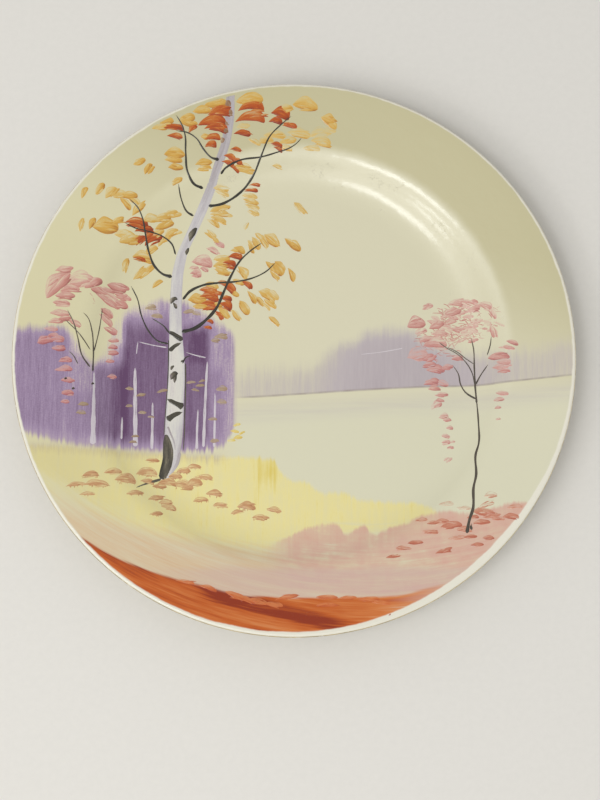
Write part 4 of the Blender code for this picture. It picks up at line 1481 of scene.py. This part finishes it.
class PLATE_OT_foliage(bpy.types.Operator):
    """Dabs the amber and orange leaves of the birch and the pink crowns of the young trees"""

    bl_idname = "plate.foliage"
    bl_label = "Foliage"

    def execute(self, context):
        shop = Workshop(context, 7)
        hand, group = shop.hand, shop.washes
        amber = pigment_material("amber_enamel", group, swatch(212, 184, 112), swatch(203, 154, 58),
                                 swatch(166, 102, 20), strength=0.95)
        orange = pigment_material("orange_enamel", group, swatch(200, 128, 50), swatch(177, 74, 8),
                                  swatch(132, 42, 2), strength=0.98)
        shaded = pigment_material("shaded_enamel", group, swatch(150, 112, 92), swatch(128, 82, 56),
                                  swatch(94, 52, 30), strength=0.85)
        rose = pigment_material("rose_enamel", group, swatch(210, 168, 158), swatch(190, 120, 114),
                                swatch(150, 74, 76), strength=0.9)
        sheet = shop.sheet()
        lay_dabs(sheet, hand, AMBER, 0.46, grow=(1.22, 1.34), echo=0.5, outline=0.8)
        lay_dabs(sheet, hand, AMBER_PALE, 0.28, grow=(1.2, 1.4), echo=0.6, hairs=3, outline=0.3)
        sheet.made("amber_leaves", amber)
        sheet = shop.sheet()
        lay_dabs(sheet, hand, ORANGE, 0.66, height=0.09, grow=(1.22, 1.3), echo=0.3, outline=0.9,
                 arch=0.36, cut=0.8)
        sheet.made("orange_leaves", orange)
        sheet = shop.sheet()
        lay_dabs(sheet, hand, OVER_TRUNK, 0.5, grow=(1.0, 1.0), hairs=1, height=0.05)
        sheet.made("shaded_leaves", shaded)
        sheet = shop.sheet()
        lay_dabs(sheet, hand, SMALL_PINK, 0.46, grow=(1.15, 1.35), echo=0.5, outline=0.4)
        lay_dabs(sheet, hand, BARK_PINK, 0.36, height=0.05, grow=(1.0, 1.1), hairs=4, outline=0.5,
                 arch=0.25)
        for _ in range(CROWN_HAIRS):
            place = spot_in(hand, CROWN_CENTRE, (15, 9.5))
            if min(math.dist(place, gap) for gap in CROWN_GAPS) < 3.4:
                continue
            lay_leaf(sheet, hand, place, hand.uniform(3, 8), hand.uniform(1.0, 2.6),
                     hand.uniform(-35, 25), hand.uniform(0.08, 0.40), height=0.02, rise=0.006,
                     grid=HAIR_GRID)
        lay_dabs(sheet, hand, CROWN, 0.38, spread=0.18, grow=(1.1, 1.25), echo=0.5, outline=0.3)
        for centre, reach, count in SCRIBBLES:
            lay_scribble(sheet, hand, centre, reach, count)
        sheet.made("pink_leaves", rose)
        return {"FINISHED"}


class PLATE_OT_ground_strokes(bpy.types.Operator):
    """Dabs the fallen leaves, the ochre touches in the wood and the tufts of the foreground"""

    bl_idname = "plate.ground_strokes"
    bl_label = "Fallen leaves and touches"

    def execute(self, context):
        shop = Workshop(context, 8)
        hand, group = shop.hand, shop.washes
        brown = pigment_material("fallen_rose", group, swatch(206, 168, 124), swatch(186, 128, 88),
                                 swatch(150, 86, 54), strength=0.88, streak=1.7)
        red = pigment_material("bank_red", group, swatch(200, 138, 112), swatch(178, 88, 60),
                               swatch(150, 56, 34), strength=0.86, streak=1.5)
        ochre = pigment_material("ochre_touch", group, swatch(178, 158, 124), swatch(158, 132, 96),
                                 swatch(126, 96, 64), strength=0.85)
        flame = pigment_material("tuft_orange", group, swatch(212, 132, 80), swatch(200, 104, 52),
                                 swatch(176, 76, 34), strength=0.9)
        sunlit = pigment_material("sunlit_yellow", group, swatch(222, 206, 130),
                                  swatch(212, 184, 96), swatch(190, 150, 70))
        sheet = shop.sheet()
        lay_dabs(sheet, hand, FALLEN, 0.44, grow=(1.1, 1.3), echo=0.35, hairs=4, outline=0.5,
                 arch=0.3)
        for x, y, length, width, _ in FALLEN:
            for _ in range(int(hand.uniform(0, 9))):
                hung = (x + length * hand.uniform(-0.42, 0.5), y - width * hand.uniform(0.15, 0.55))
                lay_leaf(sheet, hand, hung, hand.uniform(1.0, 2.0), 0.5, hand.uniform(-104, -70),
                         hand.uniform(0.2, 0.55), height=0.03, rise=0.01, grid=HAIR_GRID)
        sheet.made("fallen_leaves", brown)
        sheet = shop.sheet()
        lay_dabs(sheet, hand, BANK_RED, 0.36, spread=0.2, grow=(1.1, 1.3), echo=0.4)
        lay_dabs(sheet, hand, BANK_PALE, 0.06, spread=0.06, grow=(1.0, 1.2), echo=0.4)
        lay_leaf(sheet, hand, (2.0, -125.4), 3.0, 1.4, 10, 0.8)
        lay_leaf(sheet, hand, (42, -117.6), 2.2, 0.7, 70, 0.7)
        sheet.made("bank_leaves", red)
        sheet = shop.sheet()
        lay_dabs(sheet, hand, OCHRE, 0.42)
        sheet.made("ochre_touches", ochre)
        sheet = shop.sheet()
        lay_dabs(sheet, hand, TUFTS, 0.5, grow=(1.1, 0.9), hairs=4, arch=0.18, cut=0.2)
        sheet.made("foreground_tufts", flame)
        sheet = shop.sheet()
        lay_dabs(sheet, hand, SUNLIT, 0.4)
        sheet.made("sunlit_touches", sunlit)
        return {"FINISHED"}


FLOOR_REACH = 12.0
FLOOR_FADE = (0.9, 3.5)
FAR_FLOOR = (0.97, 0.97, 0.96)
SKY = (0.632, 0.632, 0.616)
WARM, COOL = (1.0, 0.985, 0.95), (0.95, 0.98, 1.0)
LIGHTS = [  # name, bearing, lean, distance, width, height, power, colour
    ("bright_window", 226, 34, 1.6, 0.95, 0.85, 3.3, WARM),
    ("sheer_window", 226, 31, 1.7, 1.45, 1.25, 4.0, WARM),
    ("wall_glow", 226, 30, 1.8, 2.1, 1.75, 3.4, WARM),
    ("high_strip", 222, 21, 1.5, 0.46, 0.22, 2.5, COOL),
    ("low_strip", 214, 41, 1.5, 0.30, 0.12, 0.8, COOL),
]
AIM = (0.0027, -0.0213)
NEAR_CLIP, FAR_CLIP = 0.01, 50


def studio_floor(tint):
    """Plain pale floor with a fine tooth, paler far from the plate so that it meets the sky."""
    material, desk, shader = new_material("studio_floor")
    where, x, y, _ = desk.place()
    tooth = desk.grain(where, 0.35, 4.0, 0.6)
    shade = desk.blend(desk.step(tooth, -0.3, 0.3), deeper(tint, 0.97), tint)
    away = desk.length(x, y) * MM
    shade = desk.blend(desk.step(away, *FLOOR_FADE), shade, FAR_FLOOR)
    desk.wire(shade, shader.inputs["Base Color"])
    shader.inputs["Roughness"].default_value = 0.85
    desk.bumps(tooth, 0.12, 0.0004, shader)
    return material


def soft_light(name, bearing, lean, distance, wide, tall, power, shade):
    """An area light this far from the plate, leaning from straight overhead towards a bearing."""
    light = bpy.data.lights.new(name, "AREA")
    light.shape = "RECTANGLE"
    light.size, light.size_y = wide, tall
    light.energy, light.color = power, shade
    lamp = bpy.data.objects.new(name, light)
    around, down = math.radians(bearing), math.radians(lean)
    away = Vector((math.cos(around) * math.sin(down), math.sin(around) * math.sin(down),
                   math.cos(down)))
    lamp.location = away * distance
    lamp.rotation_euler = away.to_track_quat("Z", "Y").to_euler()
    bpy.context.scene.collection.objects.link(lamp)


class PLATE_OT_stage(bpy.types.Operator):
    """Sets out the pale floor, the soft lights and the camera"""

    bl_idname = "plate.stage"
    bl_label = "Floor, lights and camera"

    def execute(self, context):
        scene, stage = context.scene, context.scene.plate_stage
        mesh = bpy.data.meshes.new("floor")
        reach = FLOOR_REACH
        mesh.from_pydata([(-reach, -reach, 0), (reach, -reach, 0), (reach, reach, 0),
                          (-reach, reach, 0)], [], [(0, 1, 2, 3)])
        mesh.materials.append(studio_floor(tuple(stage.floor)))
        floor = bpy.data.objects.new("floor", mesh)
        scene.collection.objects.link(floor)

        world = bpy.data.worlds.new("studio")
        scene.world = world
        world.use_nodes = True
        sky = world.node_tree.nodes["Background"].inputs
        sky["Color"].default_value = (*SKY, 1.0)
        sky["Strength"].default_value = 1.0
        for light in LIGHTS:
            soft_light(*light)
        scene.view_settings.view_transform = "Standard"

        lens = bpy.data.cameras.new("studio_camera")
        lens.lens = stage.lens
        lens.clip_start, lens.clip_end = NEAR_CLIP, FAR_CLIP
        camera = bpy.data.objects.new("studio_camera", lens)
        scene.collection.objects.link(camera)
        rim = TurnedLine(scene.plate_shape).lip_centre[1]
        tilt = stage.camera_tilt
        camera.location = (0, -stage.camera_distance * math.sin(tilt),
                           rim + stage.camera_distance * math.cos(tilt))
        aim = Vector((*AIM, rim))
        forward = (aim - camera.location).normalized()
        right = forward.cross(Vector((0, 1, 0))).normalized()
        turned = Matrix((right, right.cross(forward), -forward)).transposed()
        camera.rotation_euler = turned.to_euler()
        scene.camera = camera
        return {"FINISHED"}


STEPS = [PLATE_OT_clay, PLATE_OT_back_glaze, PLATE_OT_face, PLATE_OT_gilding, PLATE_OT_birch,
         PLATE_OT_trees, PLATE_OT_foliage, PLATE_OT_ground_strokes, PLATE_OT_stage]


class VIEW3D_PT_plate(bpy.types.Panel):
    """Lists the sizes, the colours and the steps of the plate"""

    bl_label = "Hand painted plate"
    bl_space_type = "VIEW_3D"
    bl_region_type = "UI"
    bl_category = "Plate"

    def draw(self, context):
        scene, layout = context.scene, self.layout
        for group in (scene.plate_shape, scene.plate_colours, scene.plate_stage):
            box = layout.box()
            for name in group.__annotations__:
                box.prop(group, name)
        for step in STEPS:
            layout.operator(step.bl_idname)


CLASSES = [PlateShape, PlateColours, PlateStage, *STEPS, VIEW3D_PT_plate]


def register():
    for kind in CLASSES:
        bpy.utils.register_class(kind)
    bpy.types.Scene.plate_shape = PointerProperty(type=PlateShape)
    bpy.types.Scene.plate_colours = PointerProperty(type=PlateColours)
    bpy.types.Scene.plate_stage = PointerProperty(type=PlateStage)


def unregister():
    del bpy.types.Scene.plate_stage
    del bpy.types.Scene.plate_colours
    del bpy.types.Scene.plate_shape
    for kind in reversed(CLASSES):
        bpy.utils.unregister_class(kind)


def main():
    """Makes the whole plate and its stage."""
    register()
    for step in STEPS:
        group, name = step.bl_idname.split(".")
        getattr(getattr(bpy.ops, group), name)()


if __name__ == "__main__":
    main()
